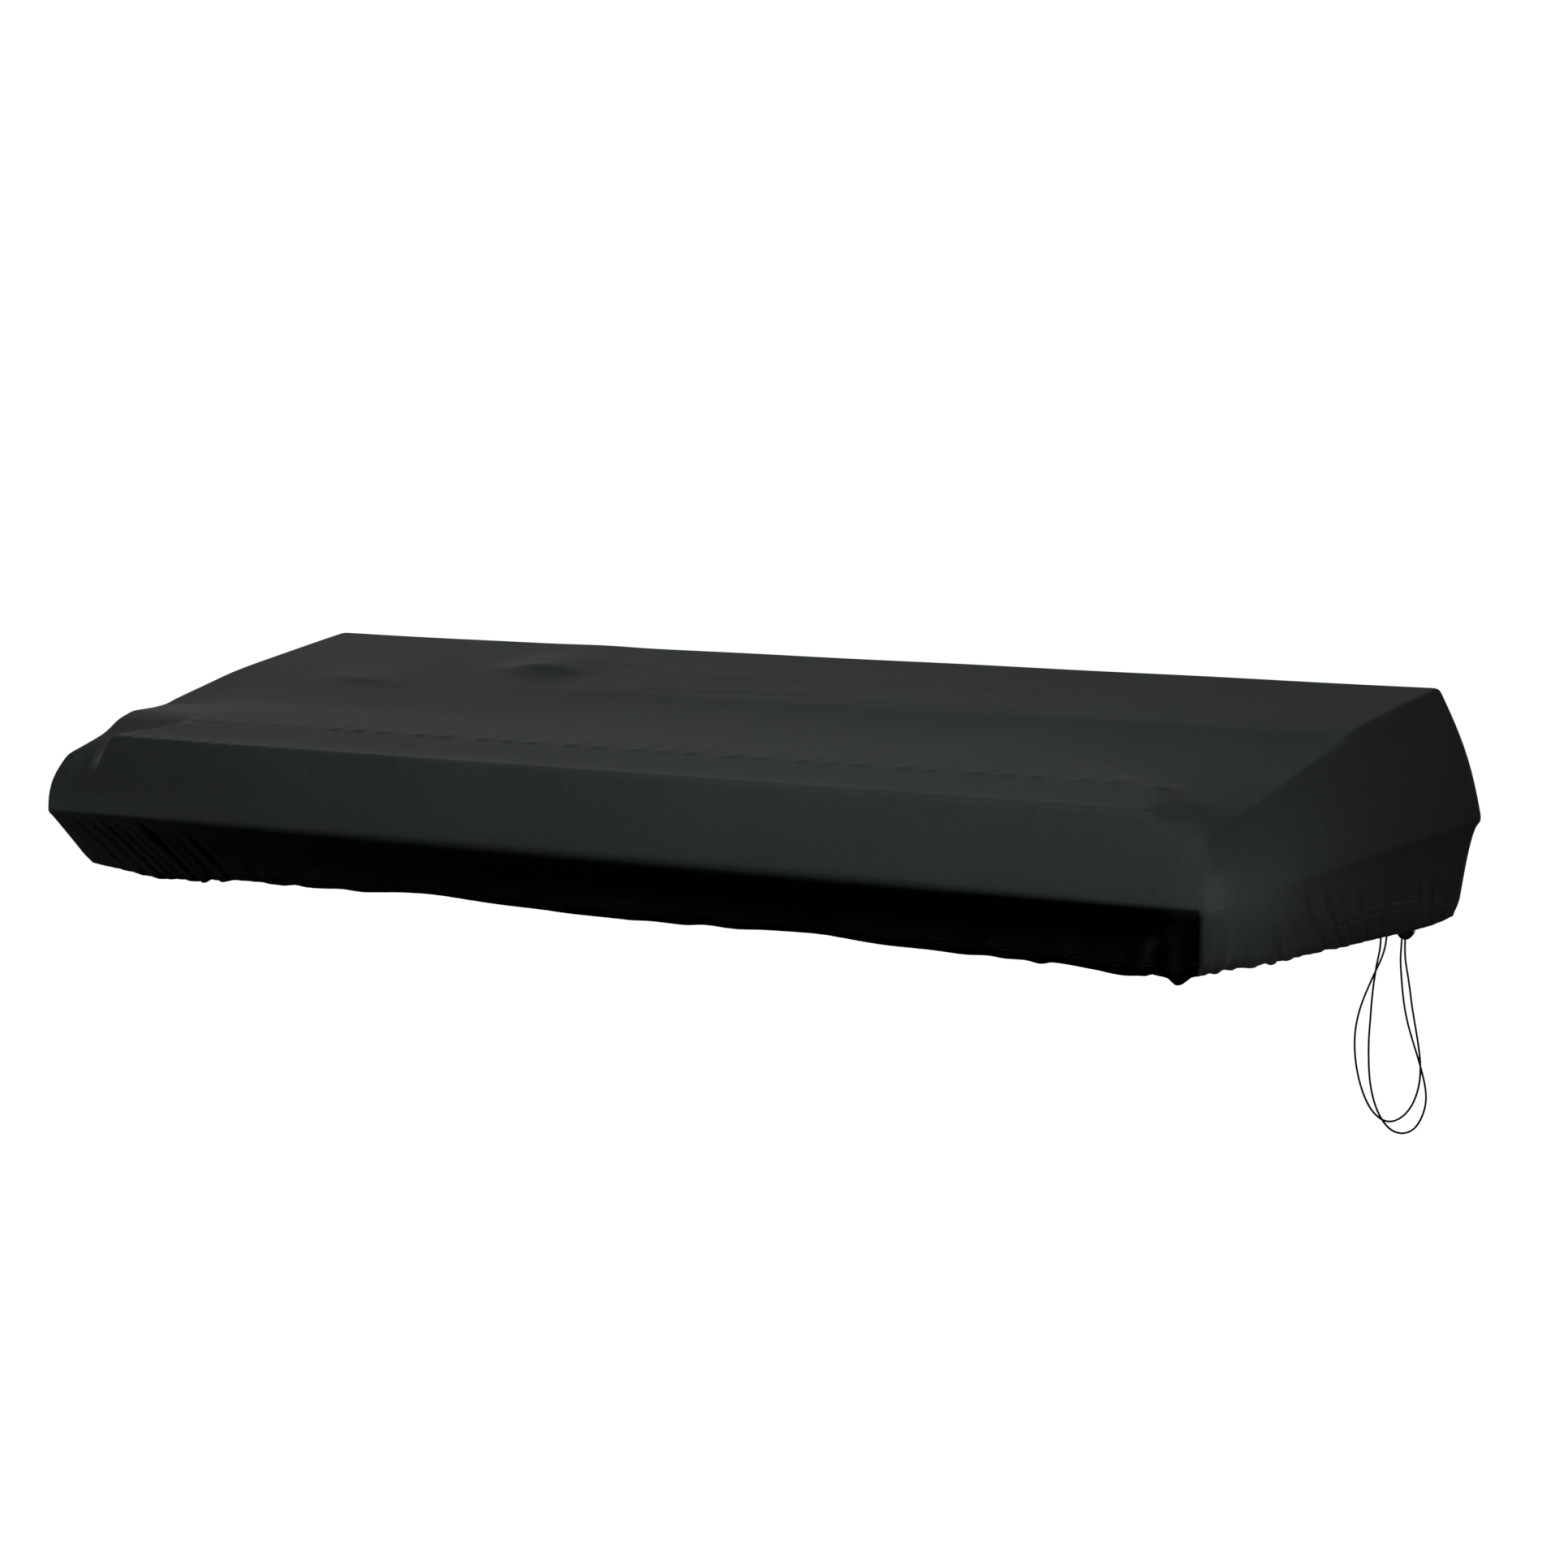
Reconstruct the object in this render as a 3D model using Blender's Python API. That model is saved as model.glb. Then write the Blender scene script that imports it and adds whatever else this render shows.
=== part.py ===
"""Fitted stretch cover for a keyboard instrument, with its drawcord and cord lock.

Standalone Blender 4.5 script. All sizes below are in millimetres and become metres in to_metres.
The shape is worked out in a body frame: x along the length from the middle, y from the front
ridge (the row of key fronts under the cloth) to the back, z up from that ridge. The last step
moves everything so that the origin is at ORIGIN_AT, under the middle of the rear panel, where
the instrument holds the cloth up.
"""

import math
import random

import bmesh
import bpy
import numpy as np
from mathutils import Matrix, Vector

MM = 0.001

# Driving sizes of the cover
LEFT_END = -597.0  # at the crease, where the cloth is widest
RIGHT_END = 594.0
CREASE_FRONT = -6.0  # y of the lower front edge of the instrument
CREASE_BACK = 346.0
CREASE_FRONT_Z = -70.0
CREASE_BACK_Z = -37.0
TOP_FRONT = 7.0  # y of the top's front corners
TOP_BACK = 320.0
KEYS_LEFT = -517.5  # ends of the ridge of key fronts
KEYS_RIGHT = 539.5
HEM_FRONT = 15.0
HEM_BACK = 331.0
HEM_LEFT = -566.0
HEM_RIGHT = 575.0
CLOTH = 1.5
HEM_CASING = 4.5  # thickness of the hem, folded over its elastic
CASING_HEIGHT = 12.0
WALL_BULGE = {"front": 2.0, "right": 4.5, "back": 4.5, "left": 7.0}  # between top and crease
TUCK = 4.0  # how far the cloth turns in just under the crease, away from the corners
TUCK_AT_CORNERS = 0.5
TUCK_REACH = 70.0
ORIGIN_AT = Vector((0.0, 240.0, 44.1))

# Height of the top along its middle: y, z
MIDDLE = ((0, 0.0), (25, 6.0), (51, 12.0), (90, 18.9), (195, 37.6), (320, 61.2))

# Upper edge of the left end: y, x, z
LEFT_EDGE = (
    (7, -579.5, -17.0),
    (33, -577.5, -9.5),
    (52, -575.5, 1.0),
    (67, -574.5, 8.0),
    (80, -574.0, 12.0),
    (113, -572.5, 14.5),
    (150, -571.0, 24.5),
    (195, -569.5, 36.8),
    (320, -565.5, 61.2),
)

# Upper edge of the right end: y, x, z
RIGHT_EDGE = (
    (7, 585.0, -16.5),
    (45, 581.0, -8.5),
    (76, 580.0, 0.0),
    (108, 579.0, 10.0),
    (155, 577.0, 23.0),
    (184, 576.0, 31.5),
    (192, 575.5, 36.0),
    (320, 573.0, 61.2),
)

# Lower edge of the hem along the front: x, z
HEM_FRONT_EDGE = (
    (-562, -112.5),
    (-530, -113.8),
    (-482, -118.3),
    (-465, -117.0),
    (-432, -118.2),
    (-405, -113.5),
    (-310, -113.5),
    (-235, -112.3),
    (-180, -109.8),
    (-126, -111.2),
    (-56, -113.2),
    (45, -114.5),
    (143, -112.8),
    (220, -111.6),
    (300, -114.2),
    (388, -115.2),
    (460, -116.2),
    (505, -119.2),
    (529, -115.4),
    (543, -117.0),
    (551, -122.5),
    (559, -119.5),
    (568, -115.0),
    (576, -113.8),
)

# Lower edge of the hem along the right end: y, z
HEM_RIGHT_EDGE = (
    (12, -113.8),
    (41, -115.3),
    (62, -115.0),
    (82, -116.0),
    (92, -115.0),
    (101, -116.6),
    (111, -115.4),
    (122, -116.2),
    (150, -115.0),
    (204, -114.6),
    (244, -113.8),
    (290, -112.6),
    (320, -111.4),
    (334, -109.5),
)

# Folds between the crease and the hem: place at the crease, place at the hem, half width,
# depth (outwards is positive), and the share of the way down where the fold starts
FRONT_FOLDS = (
    (-576, -544, 7, 2.5, 0.00),
    (-559, -514, 13, 3.5, 0.00),
    (-535, -499, 8, 2.5, 0.00),
    (-511, -479, 7, 3.5, 0.00),
    (-494, -463, 8, 2.0, 0.05),
    (-469, -449, 9, 2.5, 0.05),
    (-448, -427, 8, 2.5, 0.05),
    (-402, -398, 8, 1.5, 0.50),
    (-312, -306, 9, 1.5, 0.50),
    (-182, -180, 16, 1.5, 0.50),
    (45, 45, 22, 1.0, 0.50),
    (240, 236, 18, -1.5, 0.50),
    (388, 384, 10, -1.2, 0.50),
    (470, 474, 12, 1.5, 0.40),
    (529, 529, 7, -2.0, 0.45),
    (549, 552, 8, 4.0, 0.30),
)
RIGHT_FOLDS = (
    (78, 102, 5, -2.5, 0.35),
    (102, 122, 6, -1.5, 0.30),
    (122, 160, 11, -4.0, 0.02),
    (142, 172, 8, 1.5, 0.10),
    (159, 184, 7, -3.0, 0.05),
    (177, 200, 6, -2.0, 0.10),
    (205, 223, 9, -2.0, 0.10),
    (224, 240, 7, -1.5, 0.10),
    (242, 257, 7, -1.5, 0.10),
    (257, 270, 6, -1.2, 0.10),
    (273, 289, 8, -1.5, 0.10),
)

# Soft bumps in the top where controls press on the cloth: x, y, radius along x and y, height
BUMPS = (
    (-418, 186, 46, 15, 3.5),
    (-252, 240, 34, 16, 5.0),
)

# Cord lock: a barrel with a spring plunger, lying behind the hem with its tip to the front
LOCK_TIP = Vector((565.6, 282.6, -116.9))
LOCK_TURN = math.radians(115.3)  # direction from the tip to the closed end, from +x
BARREL_RADIUS = 6.0
BARREL_LENGTH = 15.0
BARREL_WALL = 1.0
BARREL_FLOOR = 2.5
BARREL_ROUNDING = 2.0
PLUNGER_RADIUS = 4.6
PLUNGER_LENGTH = 11.0
PLUNGER_PROUD = 2.5
PLUNGER_ROUNDING = 0.8
LOCK_STEPS = 32
STRAND_BEHIND_TIP = 5.0  # along the lock's axis, where the strands leave it

# Drawcord
CORD_RADIUS = 0.8
CORD_GAP = 0.3
CORD_POINTS = 64

# Routes of the two strands from the hem to the lock: x, y, z
STRAND_ONE = (
    (572.9, 247.8, -114.6),
    (572.0, 246.5, -123.5),
    (569.2, 245.3, -132.5),
    (564.9, 244.9, -141.0),
    (559.8, 244.8, -151.0),
    (555.2, 243.5, -162.0),
    (552.0, 240.8, -175.0),
    (550.6, 238.7, -190.0),
    (550.8, 238.8, -205.0),
    (552.3, 241.0, -221.0),
    (555.1, 245.1, -236.0),
    (559.6, 251.8, -248.6),
    (565.6, 260.6, -254.4),
    (572.0, 270.2, -250.6),
    (577.2, 277.9, -238.0),
    (579.4, 281.2, -221.0),
    (579.0, 280.6, -204.0),
    (577.5, 278.2, -186.0),
    (575.5, 276.3, -168.0),
    (572.9, 276.4, -151.0),
    (568.4, 279.4, -137.0),
    (564.6, 284.6, -128.5),
    (563.2, 287.0, -123.2),
)
STRAND_TWO = (
    (571.7, 241.9, -114.6),
    (570.6, 242.3, -123.5),
    (566.9, 244.8, -132.5),
    (563.2, 247.7, -141.0),
    (559.8, 250.2, -151.0),
    (557.2, 251.4, -164.0),
    (556.0, 250.9, -179.0),
    (555.4, 249.8, -194.0),
    (555.3, 249.6, -208.0),
    (555.8, 250.4, -224.0),
    (557.7, 253.2, -240.0),
    (561.6, 258.9, -254.6),
    (567.4, 267.6, -263.4),
    (573.6, 276.6, -263.2),
    (578.4, 283.8, -254.0),
    (580.5, 287.0, -240.5),
    (579.6, 285.7, -226.0),
    (577.4, 282.3, -211.0),
    (574.6, 278.2, -195.0),
    (572.1, 274.7, -179.0),
    (570.4, 272.9, -163.0),
    (568.0, 274.3, -148.0),
    (564.4, 279.0, -135.5),
    (561.6, 284.4, -127.5),
    (561.0, 286.0, -122.6),
)

# Mesh steps of the cover before it is thinned out
FINE_STEP = 6.0
COARSE_STEP = 14.0
FINE_TO = -400.0  # the gathers on the left need the fine step up to here
FINE_FROM = 480.0
CORNER_STEPS = (2.0, 4.0, 7.0)
KEPT_SHARE = 0.165  # of the triangles, in the Decimate modifier

SIDES = ("front", "right", "back", "left")


def along(table, at, column=1):
    """A column of a table at places along its first column, smooth and without overshoot."""
    at = np.asarray(at, float)
    x = np.array([row[0] for row in table], float)
    y = np.array([row[column] for row in table], float)
    width = np.diff(x)
    slope = np.diff(y) / width
    tangent = np.concatenate([slope[:1], np.zeros(len(x) - 2), slope[-1:]])
    before, after = slope[:-1], slope[1:]
    same_way = before * after > 0
    total = np.where(same_way, before + after, 1.0)
    tangent[1:-1] = np.where(same_way, 2 * before * after / total, 0.0)
    i = np.clip(np.searchsorted(x, at, side="right") - 1, 0, len(width) - 1)
    t = np.clip((at - x[i]) / width[i], 0, 1)
    h = width[i]
    start = (1 + 2 * t) * (1 - t) ** 2 * y[i] + t * (1 - t) ** 2 * h * tangent[i]
    end = t * t * (3 - 2 * t) * y[i + 1] + t * t * (t - 1) * h * tangent[i + 1]
    return start + end


def smooth_step(t):
    t = np.clip(t, 0, 1)
    return t * t * (3 - 2 * t)


def soft_ramp(distance, softness):
    """Zero before the start and the distance after it, with a soft bend between."""
    bend = (distance + softness) ** 2 / (4 * softness)
    return np.where(distance > softness, distance, np.where(distance < -softness, 0, bend))


def top_height(x, y):
    """Height of the cloth's upper side over the instrument, with the lower end cheeks."""
    z = along(MIDDLE, y)
    softness = 5 + 0.12 * np.clip(y, 0, None)
    left_x = along(LEFT_EDGE, y)
    left_share = soft_ramp(KEYS_LEFT - x, softness) / (KEYS_LEFT - left_x)
    right_x = along(RIGHT_EDGE, y)
    right_share = soft_ramp(x - KEYS_RIGHT, softness) / (right_x - KEYS_RIGHT)
    z = z + left_share * (along(LEFT_EDGE, y, 2) - along(MIDDLE, y))
    z = z + right_share * (along(RIGHT_EDGE, y, 2) - along(MIDDLE, y))
    for bump_x, bump_y, along_x, along_y, height in BUMPS:
        away = ((x - bump_x) / along_x) ** 2 + ((y - bump_y) / along_y) ** 2
        z = z + height * np.exp(-away)
    return z


def top_front_y(x):
    """The top's front edge is straight along the keys and runs back a little at the ends."""
    past = np.maximum(soft_ramp(KEYS_LEFT - x, 6), soft_ramp(x - KEYS_RIGHT, 6))
    return TOP_FRONT * np.clip(past / 50, 0, 1)


def shoulder(x):
    """How far the rounding of the front edge reaches: crisp at the keys, soft at the ends."""
    past = np.maximum(KEYS_LEFT - x, x - KEYS_RIGHT)
    return 3.0 + 13.0 * smooth_step(past / 45)


def on_top(x, y):
    return np.stack([x, y, top_height(x, y)], axis=-1)


def top_ring(side, u):
    """The sharp upper edge of one side, in the order front, right, back, left."""
    if side == "front":
        x = along(LEFT_EDGE, TOP_FRONT) * (1 - u) + along(RIGHT_EDGE, TOP_FRONT) * u
        return on_top(x, top_front_y(x))
    if side == "right":
        y = TOP_FRONT + (TOP_BACK - TOP_FRONT) * u
        return on_top(along(RIGHT_EDGE, y), y)
    if side == "back":
        x = along(RIGHT_EDGE, TOP_BACK) * (1 - u) + along(LEFT_EDGE, TOP_BACK) * u
        return on_top(x, np.full_like(x, TOP_BACK))
    y = TOP_BACK + (TOP_FRONT - TOP_BACK) * u
    return on_top(along(LEFT_EDGE, y), y)


def inner_ring(side, u):
    """Where the rounding of the upper edge starts on the top."""
    edge = top_ring(side, u)
    x, y = edge[:, 0], edge[:, 1]
    ends = 4.0
    front = shoulder(x)
    if side == "front":
        left, right = x[0] + ends, x[-1] - ends
        x = left + (right - left) * u
        return on_top(x, top_front_y(x) + shoulder(x))
    if side == "back":
        right, left = x[0] - ends, x[-1] + ends
        x = right + (left - right) * u
        return on_top(x, y - 5.0)
    into = u if side == "right" else 1 - u
    y = y + (1 - into) * front[0 if side == "right" else -1] - into * 5.0
    x = x - ends if side == "right" else x + ends
    return on_top(x, y)


def crease_ring(side, u):
    if side == "front":
        x = LEFT_END + (RIGHT_END - LEFT_END) * u
        y = np.full_like(x, CREASE_FRONT)
    elif side == "back":
        x = RIGHT_END + (LEFT_END - RIGHT_END) * u
        y = np.full_like(x, CREASE_BACK)
    else:
        into = u if side == "right" else 1 - u
        x = np.full_like(u, RIGHT_END if side == "right" else LEFT_END)
        y = CREASE_FRONT + (CREASE_BACK - CREASE_FRONT) * into
    share = (y - CREASE_FRONT) / (CREASE_BACK - CREASE_FRONT)
    z = CREASE_FRONT_Z + (CREASE_BACK_Z - CREASE_FRONT_Z) * share
    return np.stack([x, y, z], axis=-1)


def hem_ring(side, u):
    if side == "front":
        x = HEM_LEFT + (HEM_RIGHT - HEM_LEFT) * u
        return np.stack([x, np.full_like(x, HEM_FRONT), along(HEM_FRONT_EDGE, x)], axis=-1)
    if side == "right":
        y = HEM_FRONT + (HEM_BACK - HEM_FRONT) * u
        return np.stack([np.full_like(y, HEM_RIGHT), y, along(HEM_RIGHT_EDGE, y)], axis=-1)
    if side == "back":
        x = HEM_RIGHT + (HEM_LEFT - HEM_RIGHT) * u
        z = -110.5 - 1.2 * np.sin(x / 31) - 0.8 * np.sin(x / 13 + 1)
        return np.stack([x, np.full_like(x, HEM_BACK), z], axis=-1)
    y = HEM_BACK + (HEM_FRONT - HEM_BACK) * u
    z = -112.5 - 1.2 * np.sin(y / 23) - 0.8 * np.sin(y / 11 + 2)
    return np.stack([np.full_like(y, HEM_LEFT), y, z], axis=-1)


# Rounding of each ring in plan at its corners, each named by the side that starts there
ROUNDING = {
    inner_ring: {"front": 3.0, "right": 3.0, "back": 3.0, "left": 3.0},
    top_ring: {"front": 8.0, "right": 5.0, "back": 5.0, "left": 5.0},
    crease_ring: {"front": 5.0, "right": 5.0, "back": 5.0, "left": 7.0},
    hem_ring: {"front": 14.0, "right": 12.0, "back": 12.0, "left": 24.0},
}


def span(ring, side):
    ends = ring(side, np.array([0.0, 1.0]))
    return float(np.linalg.norm(ends[1] - ends[0]))


def rounded(ring, side, u):
    """A ring's points on one side, with both of its corners rounded."""
    points = ring(side, u)
    place = SIDES.index(side)
    before, after = SIDES[place - 1], SIDES[(place + 1) % len(SIDES)]
    for corner, first, second in ((side, before, side), (after, side, after)):
        reach = ROUNDING[ring][corner]
        on_first, on_second = reach / span(ring, first), reach / span(ring, second)
        start = ring(first, np.array([0.0, 1 - on_first, 1.0]))[1]
        end = ring(second, np.array([0.0, on_second, 1.0]))[1]
        tip = ring(second, np.array([0.0, 1.0]))[0]
        if corner == side:
            near = u < on_second
            t = 0.5 + 0.5 * u / on_second
        else:
            near = u > 1 - on_first
            t = 0.5 * (u - 1 + on_first) / on_first
        t = t[:, None]
        bend = (1 - t) ** 2 * start + 2 * t * (1 - t) * tip + t * t * end
        points = np.where(near[:, None], bend, points)
    return points


def stations():
    """Shares of a side's length where the mesh has its columns: along x, then along y."""
    length = RIGHT_END - LEFT_END
    depth = CREASE_BACK - CREASE_FRONT
    fine_left = np.arange(LEFT_END, FINE_TO, FINE_STEP)
    coarse = np.arange(FINE_TO, FINE_FROM, COARSE_STEP)
    fine_right = np.arange(FINE_FROM, RIGHT_END, FINE_STEP)
    x = list(np.concatenate([fine_left, coarse, fine_right]) - LEFT_END) + [length]
    y = list(np.arange(0, depth, FINE_STEP)) + [depth]

    def with_corners(places, total):
        inner = [p for p in places if CORNER_STEPS[-1] + 2 < p < total - CORNER_STEPS[-1] - 2]
        near = [0.0, *CORNER_STEPS]
        return np.array(near + inner + [total - p for p in reversed(near)]) / total

    return with_corners(x, length), with_corners(y, depth)


def plan_normals(ring):
    """Unit vectors that point out of a closed ring in plan; the ring runs anticlockwise."""
    way = np.roll(ring, -1, axis=0) - np.roll(ring, 1, axis=0)
    out = np.stack([way[:, 1], -way[:, 0], np.zeros(len(ring))], axis=-1)
    return out / np.linalg.norm(out, axis=1)[:, None]


def hidden_folds(first, last, seed):
    """Plain small gathers for a side that the photograph doesn't show."""
    draw = random.Random(seed)
    rows = []
    place = first + 20
    while place < last - 20:
        depth = draw.choice((-2.0, -1.2, 1.5))
        rows.append((place, place + draw.uniform(-6, 6), draw.uniform(7, 11), depth, 0.2))
        place += draw.uniform(28, 52)
    return rows


FOLDS = {
    "front": FRONT_FOLDS,
    "right": RIGHT_FOLDS,
    "back": hidden_folds(LEFT_END, RIGHT_END, 3),
    "left": hidden_folds(CREASE_FRONT, CREASE_BACK, 5),
}


def fold_depth(side, place, share):
    """How far the gathers move the cloth outwards, at a place and a share of the way down."""
    depth = np.zeros_like(place)
    for at_crease, at_hem, half_width, fold, start in FOLDS[side]:
        middle = at_crease + (at_hem - at_crease) * share
        rise = smooth_step((share - start) / 0.3)
        depth += fold * rise * np.exp(-(((place - middle) / half_width) ** 2))
    return depth


def softened(values, times=6):
    """A closed ring of values with its jumps spread over the neighbours."""
    for _ in range(times):
        values = (np.roll(values, 1) + values * 2 + np.roll(values, -1)) / 4
    return values


def wall_rows(columns):
    """Rows of points from the top's rounding down to the hem, each a closed ring."""
    rings, places, bulges, tucks = {}, [], [], []
    for ring in (inner_ring, top_ring, crease_ring, hem_ring):
        parts = [rounded(ring, side, u)[:-1] for side, u in columns]
        rings[ring] = np.concatenate(parts)
    crease = rings[crease_ring]
    start = 0
    for side, u in columns:
        part = crease[start : start + len(u) - 1]
        places.append((side, start, part[:, 0 if side in ("front", "back") else 1]))
        bulges.append(np.full(len(part), WALL_BULGE[side]))
        from_corner = np.minimum(u, 1 - u)[:-1] * span(crease_ring, side)
        tucks.append(smooth_step(from_corner / TUCK_REACH))
        start += len(u) - 1
    bulge = softened(np.concatenate(bulges))[:, None]
    tuck = TUCK_AT_CORNERS + (TUCK - TUCK_AT_CORNERS) * np.concatenate(tucks)[:, None]
    inner, top, hem = rings[inner_ring], rings[top_ring], rings[hem_ring]
    out = plan_normals(crease)
    reach = np.linalg.norm(inner - top, axis=1)[:, None]
    wall = crease - top
    height = np.linalg.norm(wall, axis=1)[:, None]
    top_end = top + wall * np.minimum(reach / height, 0.4)
    soft = 4.0
    crease_start = crease - wall * soft / height
    drop = hem - crease
    crease_end = crease + drop * soft / np.linalg.norm(drop, axis=1)[:, None]

    def bend(a, b, c, t):
        return (1 - t) ** 2 * a + 2 * t * (1 - t) * b + t * t * c

    rows = [bend(inner, top, top_end, t) for t in (0.0, 0.5, 1.0)]
    for t in (0.3, 0.65):
        middle = top_end + (crease_start - top_end) * t
        rows.append(middle + out * bulge * math.sin(math.pi * t))
    rows += [bend(crease_start, crease, crease_end, t) for t in (0.0, 0.5, 1.0)]
    for t in (0.22, 0.42, 0.6, 0.76, 0.9, 1.0):
        share = t
        row = crease_end + (hem - crease_end) * share
        row = row - out * tuck * math.sin(math.pi * share ** 0.5)
        move = np.zeros(len(row))
        for side, first, place in places:
            move[first : first + len(place)] = fold_depth(side, place, share)
        rows.append(row + out * move[:, None])
    return rows


def top_grid(first_row, nx, ny):
    """Inner points of the top, spread between its four edges (a Coons patch in plan)."""
    front = first_row[: nx + 1, :2]
    right = first_row[nx : nx + ny + 1, :2]
    back = first_row[nx + ny : 2 * nx + ny + 1, :2][::-1]
    left = np.concatenate([first_row[2 * nx + ny :, :2], first_row[:1, :2]])[::-1]
    u = ((front[:, 0] - front[0, 0]) / (front[-1, 0] - front[0, 0]))[:, None, None]
    v = ((left[:, 1] - left[0, 1]) / (left[-1, 1] - left[0, 1]))[None, :, None]
    corners = (
        (1 - u) * (1 - v) * front[0]
        + u * (1 - v) * front[-1]
        + (1 - u) * v * back[0]
        + u * v * back[-1]
    )
    plan = (1 - v) * front[:, None] + v * back[:, None]
    plan = plan + (1 - u) * left[None] + u * right[None] - corners
    return on_top(plan[..., 0], plan[..., 1])


def cover_mesh():
    """The cloth's outer side as one open sheet: the top's grid with the walls' rings below."""
    along_x, along_y = stations()
    nx, ny = len(along_x) - 1, len(along_y) - 1
    back_x, back_y = (1 - along_x)[::-1], (1 - along_y)[::-1]
    columns = (("front", along_x), ("right", along_y), ("back", back_x), ("left", back_y))
    rows = wall_rows(columns)
    around = len(rows[0])
    grid = top_grid(rows[0], nx, ny)
    points = np.concatenate(rows + [grid[1:-1, 1:-1].reshape(-1, 3)])
    inner_start = around * len(rows)

    def top_index(i, j):
        if j == 0:
            return i
        if i == nx:
            return nx + j
        if j == ny:
            return nx + ny + (nx - i)
        if i == 0:
            return (2 * nx + ny + (ny - j)) % around
        return inner_start + (i - 1) * (ny - 1) + (j - 1)

    faces = []
    for i in range(nx):
        for j in range(ny):
            corners = ((i, j), (i + 1, j), (i + 1, j + 1), (i, j + 1))
            faces.append([top_index(*corner) for corner in corners])
    for row in range(len(rows) - 1):
        upper, lower = row * around, (row + 1) * around
        for k in range(around):
            after = (k + 1) % around
            faces.append([upper + k, lower + k, lower + after, upper + after])
    hem_points = range(around * (len(rows) - 2), around * len(rows))
    return points, faces, hem_points


def to_metres(point):
    return (Vector(point) - ORIGIN_AT) * MM


def material(name, colour, roughness, metallic=0.0):
    made = bpy.data.materials.new(name)
    made.use_nodes = True
    shader = made.node_tree.nodes["Principled BSDF"]
    shader.inputs["Base Color"].default_value = (*colour, 1.0)
    shader.inputs["Roughness"].default_value = roughness
    shader.inputs["Metallic"].default_value = metallic
    return made


def add_object(name, data, finish):
    made = bpy.data.objects.new(name, data)
    data.materials.append(finish)
    bpy.context.scene.collection.objects.link(made)
    return made


def make_cover(finish):
    points, faces, hem_points = cover_mesh()
    mesh = bpy.data.meshes.new("cover")
    mesh.from_pydata([to_metres(p) for p in points], [], faces)
    mesh.validate()
    mesh.shade_smooth()
    cover = add_object("cover", mesh, finish)
    casing = cover.vertex_groups.new(name="hem casing")
    casing.add(list(hem_points), 1.0, "REPLACE")
    thin_out = cover.modifiers.new("thin out", "DECIMATE")
    thin_out.ratio = KEPT_SHARE
    thickness = cover.modifiers.new("cloth", "SOLIDIFY")
    thickness.thickness = HEM_CASING * MM
    thickness.offset = -1.0
    thickness.use_even_offset = True
    thickness.vertex_group = casing.name
    thickness.thickness_vertex_group = CLOTH / HEM_CASING
    return cover


def smooth_route(route, count):
    """Even points on a smooth curve through a route, spaced by its chord lengths."""
    knots = np.array(route, float)
    chord = np.concatenate([[0], np.cumsum(np.linalg.norm(np.diff(knots, axis=0), axis=1))])
    n = len(knots)
    gap = np.diff(chord)
    system = np.zeros((n, n))
    right = np.zeros((n, 3))
    system[0, 0] = system[-1, -1] = 1
    for i in range(1, n - 1):
        system[i, i - 1 : i + 2] = gap[i - 1], 2 * (gap[i - 1] + gap[i]), gap[i]
        rise = (knots[i + 1] - knots[i]) / gap[i] - (knots[i] - knots[i - 1]) / gap[i - 1]
        right[i] = 6 * rise
    bend = np.linalg.solve(system, right)
    at = np.linspace(0, chord[-1], count)
    i = np.clip(np.searchsorted(chord, at, side="right") - 1, 0, n - 2)
    h = gap[i][:, None]
    a = (chord[i + 1] - at)[:, None] / h
    b = 1 - a
    sag = ((a**3 - a) * bend[i] + (b**3 - b) * bend[i + 1]) * h * h / 6
    return a * knots[i] + b * knots[i + 1] + sag


def make_strand(name, route, finish):
    curve = bpy.data.curves.new(name, "CURVE")
    curve.dimensions = "3D"
    curve.bevel_depth = CORD_RADIUS * MM
    curve.bevel_resolution = 2
    curve.use_fill_caps = True
    points = smooth_route(route, CORD_POINTS)
    spline = curve.splines.new("POLY")
    spline.points.add(len(points) - 1)
    for point, place in zip(spline.points, points):
        point.co = (*to_metres(place), 1.0)
    return add_object(name, curve, finish)


def turned(name, profile, finish):
    """A closed solid turned about its own x axis from a profile of places and radii."""
    mesh = bpy.data.meshes.new(name)
    shape = bmesh.new()
    loop = [shape.verts.new((at * MM, 0, radius * MM)) for at, radius in profile]
    edges = [shape.edges.new(pair) for pair in zip(loop, loop[1:])]
    turn = dict(cent=(0, 0, 0), axis=(1, 0, 0), angle=2 * math.pi, steps=LOCK_STEPS)
    bmesh.ops.spin(shape, geom=loop + edges, use_merge=True, **turn)
    bmesh.ops.remove_doubles(shape, verts=shape.verts, dist=0.00001)
    bmesh.ops.recalc_face_normals(shape, faces=shape.faces)
    shape.to_mesh(mesh)
    shape.free()
    mesh.shade_smooth()
    mesh.set_sharp_from_angle(angle=math.radians(35))
    return add_object(name, mesh, finish)


def barrel_profile():
    """The barrel from the middle of its closed end, over its side and down into its bore."""
    front, back = PLUNGER_PROUD, PLUNGER_PROUD + BARREL_LENGTH
    bore = BARREL_RADIUS - BARREL_WALL
    curve = [
        (
            back - BARREL_ROUNDING * (1 - math.sin(turn)),
            BARREL_RADIUS - BARREL_ROUNDING * (1 - math.cos(turn)),
        )
        for turn in (math.pi / 2, math.pi / 3, math.pi / 6, 0.0)
    ]
    mouth = [(front + 0.5, BARREL_RADIUS), (front, BARREL_RADIUS - 0.5), (front, bore)]
    return [(back, 0.0)] + curve + mouth + [(back - BARREL_FLOOR, bore), (back - BARREL_FLOOR, 0.0)]


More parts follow.
